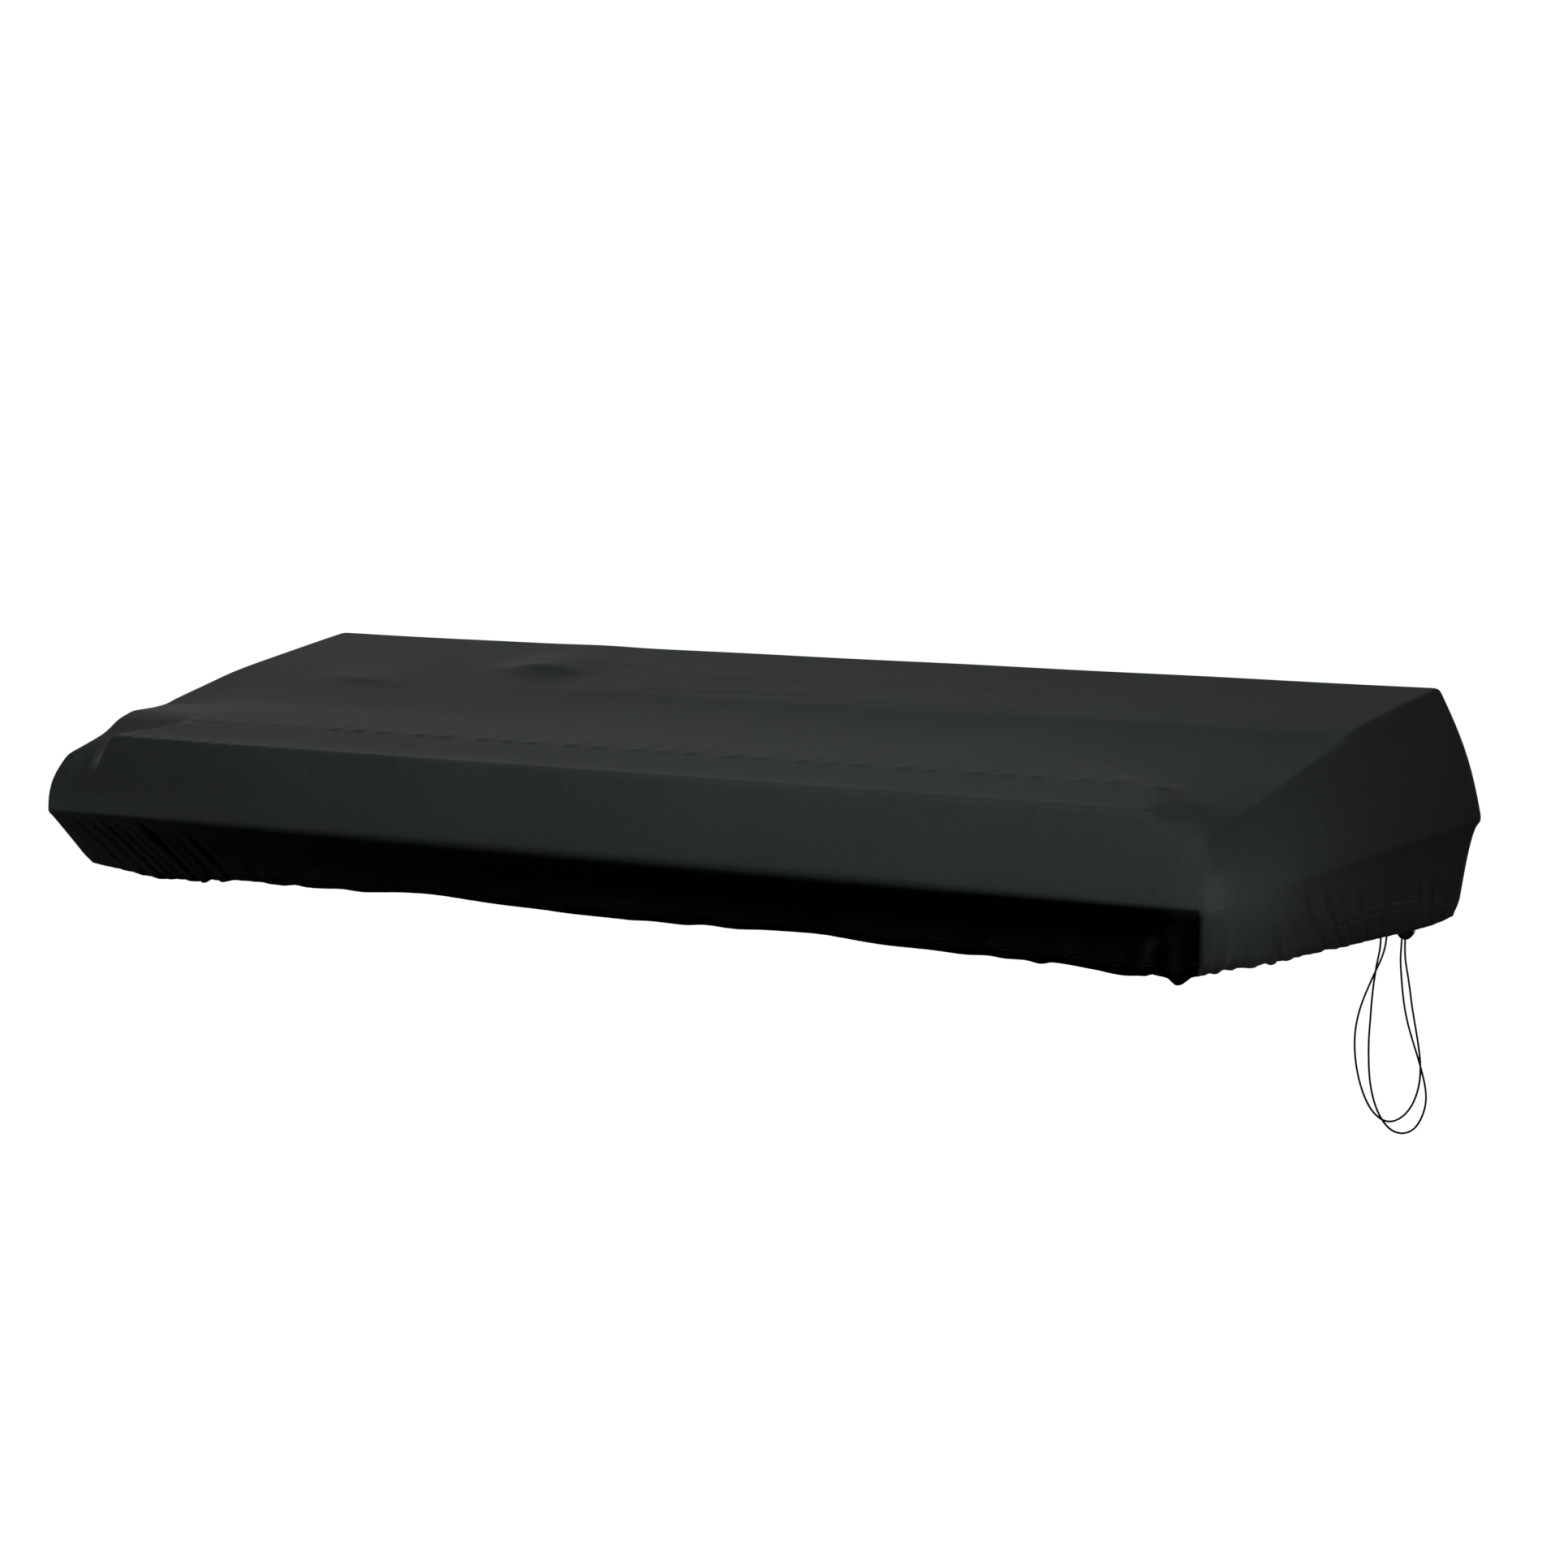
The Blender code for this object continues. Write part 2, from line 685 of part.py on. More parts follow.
def plunger_profile():
    """The plunger from the middle of its tip, over its side to its inner end."""
    curve = [
        (
            PLUNGER_ROUNDING * (1 - math.sin(turn)),
            PLUNGER_RADIUS - PLUNGER_ROUNDING * (1 - math.cos(turn)),
        )
        for turn in (math.pi / 2, math.pi / 4, 0.0)
    ]
    return [(0.0, 0.0)] + curve + [(PLUNGER_LENGTH, PLUNGER_RADIUS), (PLUNGER_LENGTH, 0.0)]


def make_lock(finish):
    place = Matrix.Translation(to_metres(LOCK_TIP)) @ Matrix.Rotation(LOCK_TURN, 4, "Z")
    for name, profile in (
        ("cord_lock_barrel", barrel_profile()),
        ("cord_lock_plunger", plunger_profile()),
    ):
        turned(name, profile, finish).matrix_world = place


def main():
    for thing in list(bpy.data.objects):
        bpy.data.objects.remove(thing)
    knit = material("charcoal stretch knit", (0.045, 0.047, 0.049), 0.9)
    braid = material("black elastic braid", (0.015, 0.015, 0.016), 0.75)
    plastic = material("black moulded plastic", (0.02, 0.02, 0.021), 0.45)
    make_cover(knit)
    make_strand("drawcord_strand_1", STRAND_ONE, braid)
    make_strand("drawcord_strand_2", STRAND_TWO, braid)
    make_lock(plastic)


main()
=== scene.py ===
import math
import random

import bpy
import numpy as np
from mathutils import Matrix, Vector


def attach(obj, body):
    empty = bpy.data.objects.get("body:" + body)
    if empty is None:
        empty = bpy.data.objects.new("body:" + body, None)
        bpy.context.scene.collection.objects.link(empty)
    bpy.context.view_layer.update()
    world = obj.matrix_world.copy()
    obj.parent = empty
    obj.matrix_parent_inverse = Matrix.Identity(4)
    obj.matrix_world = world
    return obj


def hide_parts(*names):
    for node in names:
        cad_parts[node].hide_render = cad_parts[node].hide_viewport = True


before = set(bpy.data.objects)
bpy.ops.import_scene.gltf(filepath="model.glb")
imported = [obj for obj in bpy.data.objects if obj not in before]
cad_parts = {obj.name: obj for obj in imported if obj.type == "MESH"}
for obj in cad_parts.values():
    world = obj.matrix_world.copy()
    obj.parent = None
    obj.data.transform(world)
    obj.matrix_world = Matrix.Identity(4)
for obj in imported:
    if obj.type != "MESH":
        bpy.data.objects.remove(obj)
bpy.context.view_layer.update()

# Shape tables and sizes are in millimetres in the body frame: x along the length from the middle,
# y from the front ridge to the back, z up from that ridge. ORIGIN_AT is the row frame's origin.
MM = 0.001
ORIGIN_AT = np.array((0.0, 240.0, 44.1))

# Camera: place in the body frame, aim, tilt and focal length, as fitted to the photograph
CAMERA_AT = np.array((2533.755, -2742.488, 395.55))
CAMERA_TURN = math.radians(40.265)
CAMERA_DOWN = math.radians(6.276)
CAMERA_ROLL = math.radians(-1.140)
CAMERA_LENS = 36 * 6066.266 / 1932

# Driving sizes of the cover
LEFT_END = -597.5
RIGHT_END = 594.0
CREASE_FRONT = -6.0
CREASE_BACK = 346.0
CORNER_PUSH = 3.5  # how far the front crease comes forward at the right corner
CORNER_CUT = 3.2  # how far the right end's crease stands back at its front corner
CORNER_CUT_LENGTH = 24.0
TOP_FRONT = 7.0
TOP_BACK = 320.0
KEYS_LEFT = -517.5
KEYS_RIGHT = 539.5
HEM_FRONT = 15.0
HEM_BACK = 331.0
HEM_LEFT = -571.0
HEM_RIGHT = 575.0
HEM_CORNER = 5.0  # how much further out the hem is at the right end's back corner
CLOTH = 1.2
CLOTH_INSIDE = 2.0  # depth of the sheet's inner side above the hem
WALL_BULGE = {"front": 1.2, "right": 4.5, "back": 4.5, "left": 8.5}
TUCK = 4.0
TUCK_AT_CORNERS = 0.5
TUCK_REACH = 70.0

# At the left end the cloth falls from the ridge's end in a hollow: its length along x there,
# and how far the fall starts nearer to the middle behind the ridge; the same at the right end
LEFT_HOLLOW = 12.0
LEFT_SADDLE = 42.0
RIGHT_SADDLE = 130.0

# Height of the top along its middle: y, z. It sags between the ridge, the row of dents at
# y = 50 and the edge of the rear panel at y = 190.
MIDDLE = (
    (0, 0), (5, 0.4), (12, 1.4), (25, 4.2), (36, 7), (45, 9.2),
    (52, 10.7), (60, 12.1), (70, 13.6), (90, 16.3), (120, 20.5), (150, 26),
    (175, 32), (187, 35.6), (194, 37.6), (200, 38.8), (320, 61.2),
)

# The same in the left half, where the rear panel's edge hardly shows
MIDDLE_LEFT = (
    *MIDDLE[:-6], (150, 26.6), (175, 32.2), (187, 34.9), (200, 37.8), (225, 43), (320, 61.2),
)

# Upper edge of the left end: y, x, z
LEFT_EDGE = (
    (7, -584, -18.5), (20, -582, -13.8), (33, -580, -9), (45, -578, -3.8),
    (52, -577, 1), (59, -576, 6.4), (66, -575.5, 9.4), (75, -575.5, 12.2),
    (95, -575.5, 12.8), (111, -575, 14.6), (121, -574.8, 17.8), (150, -573.5, 26),
    (195, -571.5, 37.8), (320, -566.5, 61.4),
)

# The hollow between the tip of the front ridge and the left end's front corner
TIP_HOLLOW = (-559, 17, 25, 6.8)  # x, half length along x, reach behind, depth

# Upper edge of the right end: y, x, z
RIGHT_EDGE = (
    (7, 584, -17), (45, 581, -8.5), (76, 580, 0), (108, 579, 10),
    (155, 577, 23), (184, 576, 31.5), (192, 575.5, 36), (320, 573.5, 61.2),
)

# Height of the crease: along the front, the back, the left and the right
CREASE_FRONT_EDGE = (
    (-598, -67), (-560, -66), (-400, -64.6), (-200, -63.8), (560, -63.2),
    (580, -65.5), (594, -68.5),
)
CREASE_BACK_EDGE = ((-598, -37), (594, -36.5))
CREASE_LEFT_EDGE = ((-6, -67), (346, -37))
CREASE_RIGHT_EDGE = (
    (-10, -68.5), (14, -64.2), (64, -58.6), (145, -51.8), (228, -45),
    (315, -38.6), (346, -36.5),
)

# Lower edge of the hem along the front: x, z
HEM_FRONT_EDGE = (
    (-566, -109.5), (-553, -111.5), (-541, -112.8), (-527, -114.3), (-499, -117.2),
    (-482, -118.4), (-458, -117.1), (-431, -118), (-424, -114.8), (-410, -115.9),
    (-397, -113.6), (-377, -112.9), (-340, -114.1), (-324, -112.6), (-311, -113.7),
    (-270, -112.3), (-250, -113), (-227, -111.7), (-208, -110.4), (-170, -109.2),
    (-139, -110.7), (-90, -112.4), (-56, -112.9), (-18, -114), (41, -114.2),
    (58, -113.5), (93, -114.1), (115, -112.4), (144, -113.3), (172, -111.9),
    (216, -111), (248, -112.1), (296, -114.4), (328, -114.5), (365, -115.5),
    (385, -114.6), (401, -115.5), (416, -115.1), (431, -116.8), (442, -114.9),
    (457, -115.2), (481, -117.4), (503, -119.2), (524, -118), (531, -115.8),
    (539, -116.9), (543, -118.5), (548, -122.6), (552, -122.2), (557, -119.6),
    (565, -115), (576, -113.6),
)

# Lower edge of the hem along the right end: y, z
HEM_RIGHT_EDGE = (
    (10, -113), (26, -115.2), (32, -114.4), (39, -115.8), (49, -114.1),
    (61, -115.8), (67, -114.8), (79, -116.2), (92, -114.4), (101, -116.8),
    (112, -115), (121, -116.3), (129, -114.9), (135, -115.5), (143, -114.6),
    (152, -115.2), (174, -114.7), (185, -115.2), (204, -114.8), (244, -113.9),
    (289, -112.6), (320, -111.4), (334, -109.3),
)

# Folds between the crease and the hem: place at the crease, place at the hem, half width,
# depth (outwards is positive), and the share of the way down where the fold starts
FRONT_FOLDS = (
    (-584, -560, 2, -1, 0), (-577, -552, 2.2, 1, 0), (-570, -543, 2.2, -1.6, 0),
    (-562, -530, 3.4, 1.6, 0), (-555, -519, 1.8, -1.4, 0.05), (-549, -508, 3.4, 1.8, 0),
    (-542, -500, 2.2, -2.4, 0), (-534, -493, 2.6, 1.4, 0), (-526, -488, 2, -2, 0),
    (-518, -481, 2.2, 0.8, 0), (-510, -476, 2, -1.4, 0.05), (-502, -468, 5, 2.4, 0),
    (-491, -460, 3, -3, 0), (-481, -453, 2.4, 1, 0.05), (-473, -446, 1.8, -1, 0.1),
    (-462, -436, 3, -2, 0.05), (-448, -427, 3.4, 2.2, 0.05), (-437, -416, 3.6, -1.4, 0.1),
    (-424, -406, 2, 1.4, 0.55), (-416, -397, 2, -1, 0.55), (-408, -391, 2.2, 1.2, 0.6),
    (-396, -382, 2.4, -1, 0.6), (-382, -371, 3, 1.2, 0.65), (-402, -398, 8, 1.5, 0.5),
    (-312, -306, 9, 1.5, 0.5), (-182, -180, 16, 1.5, 0.5), (45, 45, 22, 1, 0.5),
    (240, 236, 18, -1.5, 0.5), (388, 384, 10, -1.2, 0.5), (470, 474, 12, 1.5, 0.4),
    (529, 529, 6, -2, 0.45), (546, 549, 7, 4, 0.3),
)
RIGHT_FOLDS = (
    (22, 22, 9, 1, 0.1), (40, 42, 1.6, 1.4, 0.72), (46, 49, 1.8, -1.3, 0.72),
    (56, 58, 1.8, 0.8, 0.76), (66, 70, 2.6, -1.6, 0.74), (66, 96, 1.8, -2.8, 0.34),
    (75, 104, 3, 1, 0.4), (96, 122, 4, -1, 0.3), (103, 122, 2.2, 1.4, 0.74),
    (110, 130, 2.4, -1.6, 0.74), (112, 139, 2.4, 1.4, 0.72), (120, 147, 2.2, -1.2, 0.76),
    (126, 154, 2.2, 1, 0.78), (113, 166, 5.5, -3, 0.12), (124, 173, 4, 1.2, 0.2),
    (140, 184, 3.4, -1.6, 0.16), (149, 190, 3, 0.6, 0.2), (160, 198, 3, -0.7, 0.24),
    (174, 211, 3, 0.5, 0.2), (186, 219, 2.6, -0.6, 0.18), (201, 233, 2.4, -0.4, 0.06),
    (210, 243, 2.4, -0.5, 0.04), (216, 249, 1.8, 0.3, 0.04), (224, 257, 2.2, -0.5, 0.04),
    (237, 268, 2, -0.35, 0.06), (246, 276, 2.2, -0.45, 0.04), (259, 286, 2, 0.3, 0.08),
    (270, 294, 2.6, -0.45, 0.2), (288, 306, 3.6, -0.4, 0.3),
)

# Soft shoulders where the top is pushed up from below: x and y of the crest's middle,
# half length along x, reach in front and behind, height, and how far the crest turns along y
BUMPS = (
    (-414, 187, 46, 8, 26, 2.6, -0.12),
    (-252, 236, 40, 9, 34, 6.5, 0),
)

# Fine creases in the top: x and y of the start, x and y of the end, reach in front and behind,
# height. Each is steep on its front side and gentle behind.
CREASES = (
    (-517, 3, -484, 46, 10, 12, 0.4),
    (504, 54, 522, 53.5, 4, 9, 0.9),
    (-128, 206, 62, 217, 3, 16, 0.55),
    (-94, 246, 70, 250, 3, 14, 0.4),
    (80, 250, 259, 258, 3, 12, 0.4),
    (107, 205, 277, 207, 3, 16, 0.5),
    (308, 190, 560, 196, 4, 18, 0.4),
    (-300, 262, -160, 268, 4, 20, 0.5),
)

# Creases of the upper wall: place along the side and z of the start, the same of the end,
# half width, height
WALL_CREASES = {
    "front": ((536, -1.5, 556, -7, 2.4, -0.5),),
    "right": (
        (194, 30.6, 300, 50, 3.2, 0.75),
        (182, 34, 190, 29, 1.6, -0.9),
        (-9, -67, 10, -62.5, 2, -2),
        (-6, -62, 14, -57, 2.6, 0.9),
    ),
}

# Places of the dents in an octave, from its start, and the step of the nicks in the ridge
OCTAVE = 164.5
OCTAVES = 7
BLACK_KEYS = (43.6, 70.5, 97.4, 138.7, 166.8)
BLACK_KEYS_AT = 50.0  # y of the row of dents
DENT_HEIGHT = 1.5
DENT_WIDTH = 6.6
WHITE_KEY = 23.5

# Stitch lines on the right end: y, z of the upper line, z of the lower line
RIGHT_STITCHES = (
    (100, -112, -114), (117, -106.5, -109), (152, -101, -104.5), (189, -93.5, -99),
    (231, -90.5, -96), (285, -92.5, -99.5), (306, -98, -104.5), (326, -106.5, -108.5),
)
STITCH_LENGTH = 2.2
STITCH_STEP = 3.1
STITCH_RADIUS = 0.28
STITCH_SIDES = 6
STITCH_START = 1.5  # free length at both ends of a row
STITCH_RISE = (9.0, 6.0)  # height of the upper and lower row above the hem

# Rings of a stitch: place from -1 to 1, share of the radius, lift off the cloth
STITCH_RINGS = ((-1.0, 0.45, -0.15), (-0.6, 1.0, 0.12), (0.6, 1.0, 0.12), (1.0, 0.45, -0.15))

# Cord lock
LOCK_TIP = np.array((565.6, 282.6, -116.9))
LOCK_TURN = math.radians(115.3)
BARREL_RADIUS = 6.0
BARREL_LENGTH = 15.0
BARREL_WALL = 1.0
PLUNGER_RADIUS = 4.6
PLUNGER_LENGTH = 11.0
PLUNGER_PROUD = 2.5
FLUTES = 16
FLUTE_DEPTH = 0.35
BARREL_SIDES = 64
PLUNGER_SIDES = 96

# Drawcord
CORD_RADIUS = 0.8
CORD_RINGS = 420
CORD_SIDES = 16
CORD_PICK = 3.2  # length of one crossing of the braid

# Routes of the two strands from the hem to the lock: x, y, z
STRAND_ONE = (
    (572.9, 247.8, -114.6), (572, 246.5, -123.5), (569.2, 245.3, -132.5), (564.9, 244.9, -141),
    (559.8, 244.8, -151), (555.2, 243.5, -162), (552, 240.8, -175), (550.6, 238.7, -190),
    (550.8, 238.8, -205), (552.3, 241, -221), (555.1, 245.1, -236), (559.6, 251.8, -248.6),
    (565.6, 260.6, -254.4), (572, 270.2, -250.6), (577.2, 277.9, -238), (579.4, 281.2, -221),
    (579, 280.6, -204), (577.5, 278.2, -186), (575.5, 276.3, -168), (572.9, 276.4, -151),
    (568.4, 279.4, -137), (564.6, 284.6, -128.5), (563.2, 287, -123.2),
)
STRAND_TWO = (
    (571.7, 241.9, -114.6), (570.6, 242.3, -123.5), (566.9, 244.8, -132.5), (563.2, 247.7, -141),
    (559.8, 250.2, -151), (557.2, 251.4, -164), (556, 250.9, -179), (555.4, 249.8, -194),
    (555.3, 249.6, -208), (555.8, 250.4, -224), (557.7, 253.2, -240), (561.6, 258.9, -254.6),
    (567.4, 267.6, -263.4), (573.6, 276.6, -263.2), (578.4, 283.8, -254), (580.5, 287, -240.5),
    (579.6, 285.7, -226), (577.4, 282.3, -211), (574.6, 278.2, -195), (572.1, 274.7, -179),
    (570.4, 272.9, -163), (568, 274.3, -148), (564.4, 279, -135.5), (561.6, 284.4, -127.5),
    (561, 286, -122.6),
)

# Knit stitch, width and height in metres, and grain of both threads
KNIT_STITCH = (0.00115, 0.0009)
THREAD_GRAIN = 2500.0
BRAID_GRAIN = 1800.0

# Darkest and lightest tone of each material
KNIT_TONES = ((0.0313, 0.0372, 0.0392), (0.057, 0.0665, 0.0685))
THREAD_TONES = ((0.055, 0.055, 0.058), (0.085, 0.085, 0.09))
BRAID_TONES = ((0.012, 0.012, 0.013), (0.035, 0.035, 0.037))
PLASTIC_TONES = ((0.022, 0.022, 0.023), (0.045, 0.045, 0.047))

# Studio card that keeps the front light off the cloth under the front crease, in metres
CARD_EDGE = (
    (-0.66, -0.256, -0.1078), (-0.45, -0.262, -0.1056), (-0.1, -0.285, -0.1005),
    (0.3, -0.285, -0.1005), (0.5, -0.264, -0.1055), (0.6, -0.26, -0.1065),
    (0.7, -0.287, -0.1005), (1.0, -0.33, -0.1005),
)
CARD_FAR_Y = -2.6

# Floor and backdrop
FLOOR_Z = -0.62
FLOOR_REACH = 40
GLOW = 1.02

# Lights, in metres and watts: name, place, aim, width and height, power
LIGHTS = (
    ("overhead", (0, 0.1, 2.0), (0, -0.1, -0.05), (2.4, 1.2), 2.05),
    ("back_left", (-1.7, 1.7, 0.75), (-0.1, 0, 0), (1.0, 0.5), 5.11),
    ("left", (-2.4, 0.6, 0.7), (0, -0.05, 0), (0.6, 0.5), 8.99),
    ("front_high", (0.1, -0.55, 0.6), (0.1, -0.2, 0), (1.0, 0.15), 1.35),
    ("front_high_right", (0.45, -0.5, 0.4), (0.4, -0.22, 0), (0.5, 0.12), 0.187),
    ("front_right", (1.0, -2.1, 0.3), (0.25, -0.2, -0.05), (0.8, 0.4), 15.7),
    ("far_right", (2.4, -1.9, 0.5), (0.4, -0.2, -0.05), (0.6, 0.4), 0.5),
    ("right_high", (1.3, 0, 0.5), (0.5, -0.1, 0), (0.4, 0.4), 0.212),
    ("right_top", (1.0, -0.1, 1.0), (0.5, 0, 0), (0.4, 0.4), 0.05),
    ("right_near", (0.69, -0.195, -0.15), (0.59, -0.2, -0.11), (0.06, 0.06), 0.031),
    ("right_corner", (0.622, -0.243, -0.1), (0.59, -0.24, -0.1), (0.02, 0.02), 0.0026),
    ("right_low", (0.8, -0.15, -0.09), (0.59, -0.18, -0.1), (0.1, 0.1), 0.048),
    ("left_low", (-0.74, -0.37, -0.22), (-0.52, -0.22, -0.1), (0.06, 0.06), 0.0556),
    ("left_low_far", (-1.5, -0.42, -0.22), (-0.55, -0.22, -0.1), (0.3, 0.12), 0.139),
    ("back_low", (0.3, 2.4, -0.05), (0, 0.1, -0.08), (1.6, 0.3), 14),
    ("left_end_low", (-2.3, 0.2, -0.1), (-0.57, -0.05, -0.08), (0.8, 0.3), 4),
)

# Mesh steps
CORNER_STEPS = (1.2, 2.6, 4.2, 6.2, 8.6)
END_STEP = 2.9
KEY_STEP = WHITE_KEY / 5
FINE_KEYS = 5  # nicks at the left with a step half as long
SPREAD_ROUNDS = 6  # of the jumps between two sides' measures
DEPTH_STEP = 2.7
DENT_STEP = 1.15

# Rows of the wall, as shares of their stretch: round the upper edge, down to the crease,
# round the crease, and down to the hem
EDGE_ROWS = (0.0, 0.25, 0.5, 0.75, 1.0)
CREASE_ROWS = (0.0, 0.3, 0.5, 0.7, 1.0)
UPPER_ROWS = (0.05, 0.11, 0.18, 0.26, 0.35, 0.45, 0.55, 0.65, 0.75, 0.85, 0.93)
LOWER_ROWS = (0.06, 0.13, 0.21, 0.3, 0.39, 0.48, 0.57, 0.66, 0.74, 0.82, 0.89, 0.95, 1.0)
LOWER_START = len(EDGE_ROWS) + len(UPPER_ROWS) + len(CREASE_ROWS) - 1
HEM_ROW = LOWER_START + len(LOWER_ROWS)
CURL_START = 0.8  # share of the lower wall above which the hem doesn't curl

# Rows of the hem's turned-up edge: inwards, up
HEM_TURN = ((0.5, -0.8), (1.7, -1.2), (3.0, -0.9), (3.9, 0.2), (4.2, 3.5), (3.4, 10.0), (3.0, 12.0))

SIDES = ("front", "right", "back", "left")


def new_object(name, data):
    made = bpy.data.objects.new(name, data)
    bpy.context.scene.collection.objects.link(made)
    return made


def place_camera():
    turn, down, roll = CAMERA_TURN, CAMERA_DOWN, CAMERA_ROLL
    right = Vector((math.cos(turn), math.sin(turn), 0))
    level = Vector((-math.sin(turn), math.cos(turn), 0))
    forward = level * math.cos(down) - Vector((0, 0, math.sin(down)))
    up = right.cross(forward)
    right, up = (
        right * math.cos(roll) + up * math.sin(roll),
        up * math.cos(roll) - right * math.sin(roll),
    )
    camera = new_object("camera", bpy.data.cameras.new("camera"))
    camera.data.lens = CAMERA_LENS
    camera.data.sensor_width = 36
    camera.data.clip_end = 200
    axes = Matrix((right, up, -forward)).transposed().to_4x4()
    camera.matrix_world = Matrix.Translation((CAMERA_AT - ORIGIN_AT) * MM) @ axes
    bpy.context.scene.camera = camera


# Materials


class Graph:
    """Short calls for building a material's nodes."""

    def __init__(self, name):
        self.material = bpy.data.materials.new(name)
        self.material.use_nodes = True
        self.tree = self.material.node_tree
        self.shader = self.tree.nodes["Principled BSDF"]

    def node(self, kind, settings=None, **inputs):
        made = self.tree.nodes.new(kind)
        for key, value in (settings or {}).items():
            setattr(made, key, value)
        for key, value in inputs.items():
            self.feed(made.inputs[key.replace("_", " ")], value)
        return made

    def feed(self, socket, value):
        if isinstance(value, bpy.types.NodeSocket):
            self.tree.links.new(value, socket)
        else:
            socket.default_value = value

    def surface(self, **inputs):
        for key, value in inputs.items():
            self.feed(self.shader.inputs[key.replace("_", " ")], value)

    def math(self, operation, *values):
        made = self.node("ShaderNodeMath", dict(operation=operation))
        for socket, value in zip(made.inputs, values):
            self.feed(socket, value)
        return made.outputs[0]

    def noise(self, vector, scale, detail=2.0, roughness=0.5):
        inputs = dict(Vector=vector, Scale=scale, Detail=detail, Roughness=roughness)
        return self.node("ShaderNodeTexNoise", **inputs).outputs[0]

    def ramp(self, factor, stops):
        made = self.node("ShaderNodeValToRGB", Fac=factor)
        points = made.color_ramp.elements
        while len(points) < len(stops):
            points.new(0.5)
        for point, (at, colour) in zip(points, stops):
            point.position = at
            point.color = (*colour, 1)
        return made.outputs[0]

    def bump(self, height, strength, distance, **normal):
        inputs = dict(Height=height, Strength=strength, Distance=distance, **normal)
        return self.node("ShaderNodeBump", **inputs).outputs[0]

    def between(self, low, high, value):
        return self.node("ShaderNodeMapRange", Value=value, To_Min=low, To_Max=high).outputs[0]


def knit_material(name, dark, light):
    """Fine matte stretch knit: rows of small V stitches, fuzz, and soft uneven dyeing."""
    g = Graph(name)
    uv = g.node("ShaderNodeUVMap", dict(uv_map="flat")).outputs[0]
    spot = g.node("ShaderNodeTexCoord").outputs["Object"]
    parts = g.node("ShaderNodeSeparateXYZ", Vector=uv).outputs
    across, down = (g.math("MULTIPLY", parts[k], 1 / KNIT_STITCH[k]) for k in (0, 1))
    lean = g.math("PINGPONG", across, 0.5)
    course = g.math("MULTIPLY_ADD", lean, 1.1, down)
    loops = g.math("SINE", g.math("MULTIPLY", course, 2 * math.pi))
    wales = g.math("MULTIPLY", g.math("SUBTRACT", lean, 0.25), 3.0)
    knit = g.math("MULTIPLY_ADD", loops, 0.5, wales)
    fuzz = g.noise(spot, 1300.0, 2.0, 0.7)
    mottle = g.noise(spot, 160.0, 3.0, 0.6)
    cloudy = g.noise(spot, 9.0, 2.0, 0.5)
    mixed = g.math("MULTIPLY", fuzz, 0.72)
    for part, share in ((mottle, 0.12), (cloudy, 0.16), (knit, 0.03)):
        mixed = g.math("MULTIPLY_ADD", part, share, mixed)
    g.surface(
        Base_Color=g.ramp(mixed, ((0.32, dark), (0.68, light))),
        Roughness=g.between(0.82, 0.98, fuzz),
        Specular_IOR_Level=0.2,
        Sheen_Weight=0.04,
        Sheen_Roughness=0.35,
        Sheen_Tint=(0.86, 0.95, 1.0, 1.0),
        Normal=g.bump(mottle, 0.05, 0.0004, Normal=g.bump(knit, 0.22, 0.0002)),
    )
    return g.material


def thread_material(name, dark, light, grain):
    g = Graph(name)
    spot = g.node("ShaderNodeTexCoord").outputs["Object"]
    tone = g.noise(spot, grain, 2.0, 0.6)
    g.surface(
        Base_Color=g.ramp(tone, ((0.35, dark), (0.65, light))),
        Roughness=g.between(0.6, 0.8, tone),
        Sheen_Weight=0.15,
        Sheen_Roughness=0.4,
        Normal=g.bump(g.noise(spot, grain * 3, 1.0), 0.2, 0.0001),
    )
    return g.material


def plastic_material(name):
    """Black moulded plastic with a fine spark-eroded grain and faint scuffs."""
    g = Graph(name)
    spot = g.node("ShaderNodeTexCoord").outputs["Object"]
    grain = g.noise(spot, 4500.0, 2.0, 0.6)
    scuff = g.noise(spot, 300.0, 4.0, 0.7)
    tones = zip((0.35, 0.75), PLASTIC_TONES)
    g.surface(
        Base_Color=g.ramp(scuff, tuple(tones)),
        Roughness=g.between(0.34, 0.55, scuff),
        Normal=g.bump(grain, 0.15, 0.00005),
    )
    return g.material


# The cloth's shape


def along(table, at, column=1):
    """A column of a table at places along its first column, smooth and without overshoot."""
    at = np.asarray(at, float)
    x = np.array([row[0] for row in table], float)
    y = np.array([row[column] for row in table], float)
    width = np.diff(x)
    slope = np.diff(y) / width
    tangent = np.concatenate([slope[:1], np.zeros(len(x) - 2), slope[-1:]])
    before, after = slope[:-1], slope[1:]
    same_way = before * after > 0
    total = np.where(same_way, before + after, 1.0)
    tangent[1:-1] = np.where(same_way, 2 * before * after / total, 0.0)
    i = np.clip(np.searchsorted(x, at, side="right") - 1, 0, len(width) - 1)
    t = np.clip((at - x[i]) / width[i], 0, 1)
    h = width[i]
    start = (1 + 2 * t) * (1 - t) ** 2 * y[i] + t * (1 - t) ** 2 * h * tangent[i]
    end = t * t * (3 - 2 * t) * y[i + 1] + t * t * (t - 1) * h * tangent[i + 1]
    return start + end


def rise(value, start, length):
    """Smooth rise from 0 to 1 over a length from a start; downwards where it is negative."""
    t = np.clip((value - start) / length, 0, 1)
    return t * t * (3 - 2 * t)


def mix(a, b, t):
    return a + (b - a) * t


def bend(a, b, c, t):
    return (1 - t) ** 2 * a + 2 * t * (1 - t) * b + t * t * c


def bell(off, width=1.0):
    return np.exp(-((off / width) ** 2))


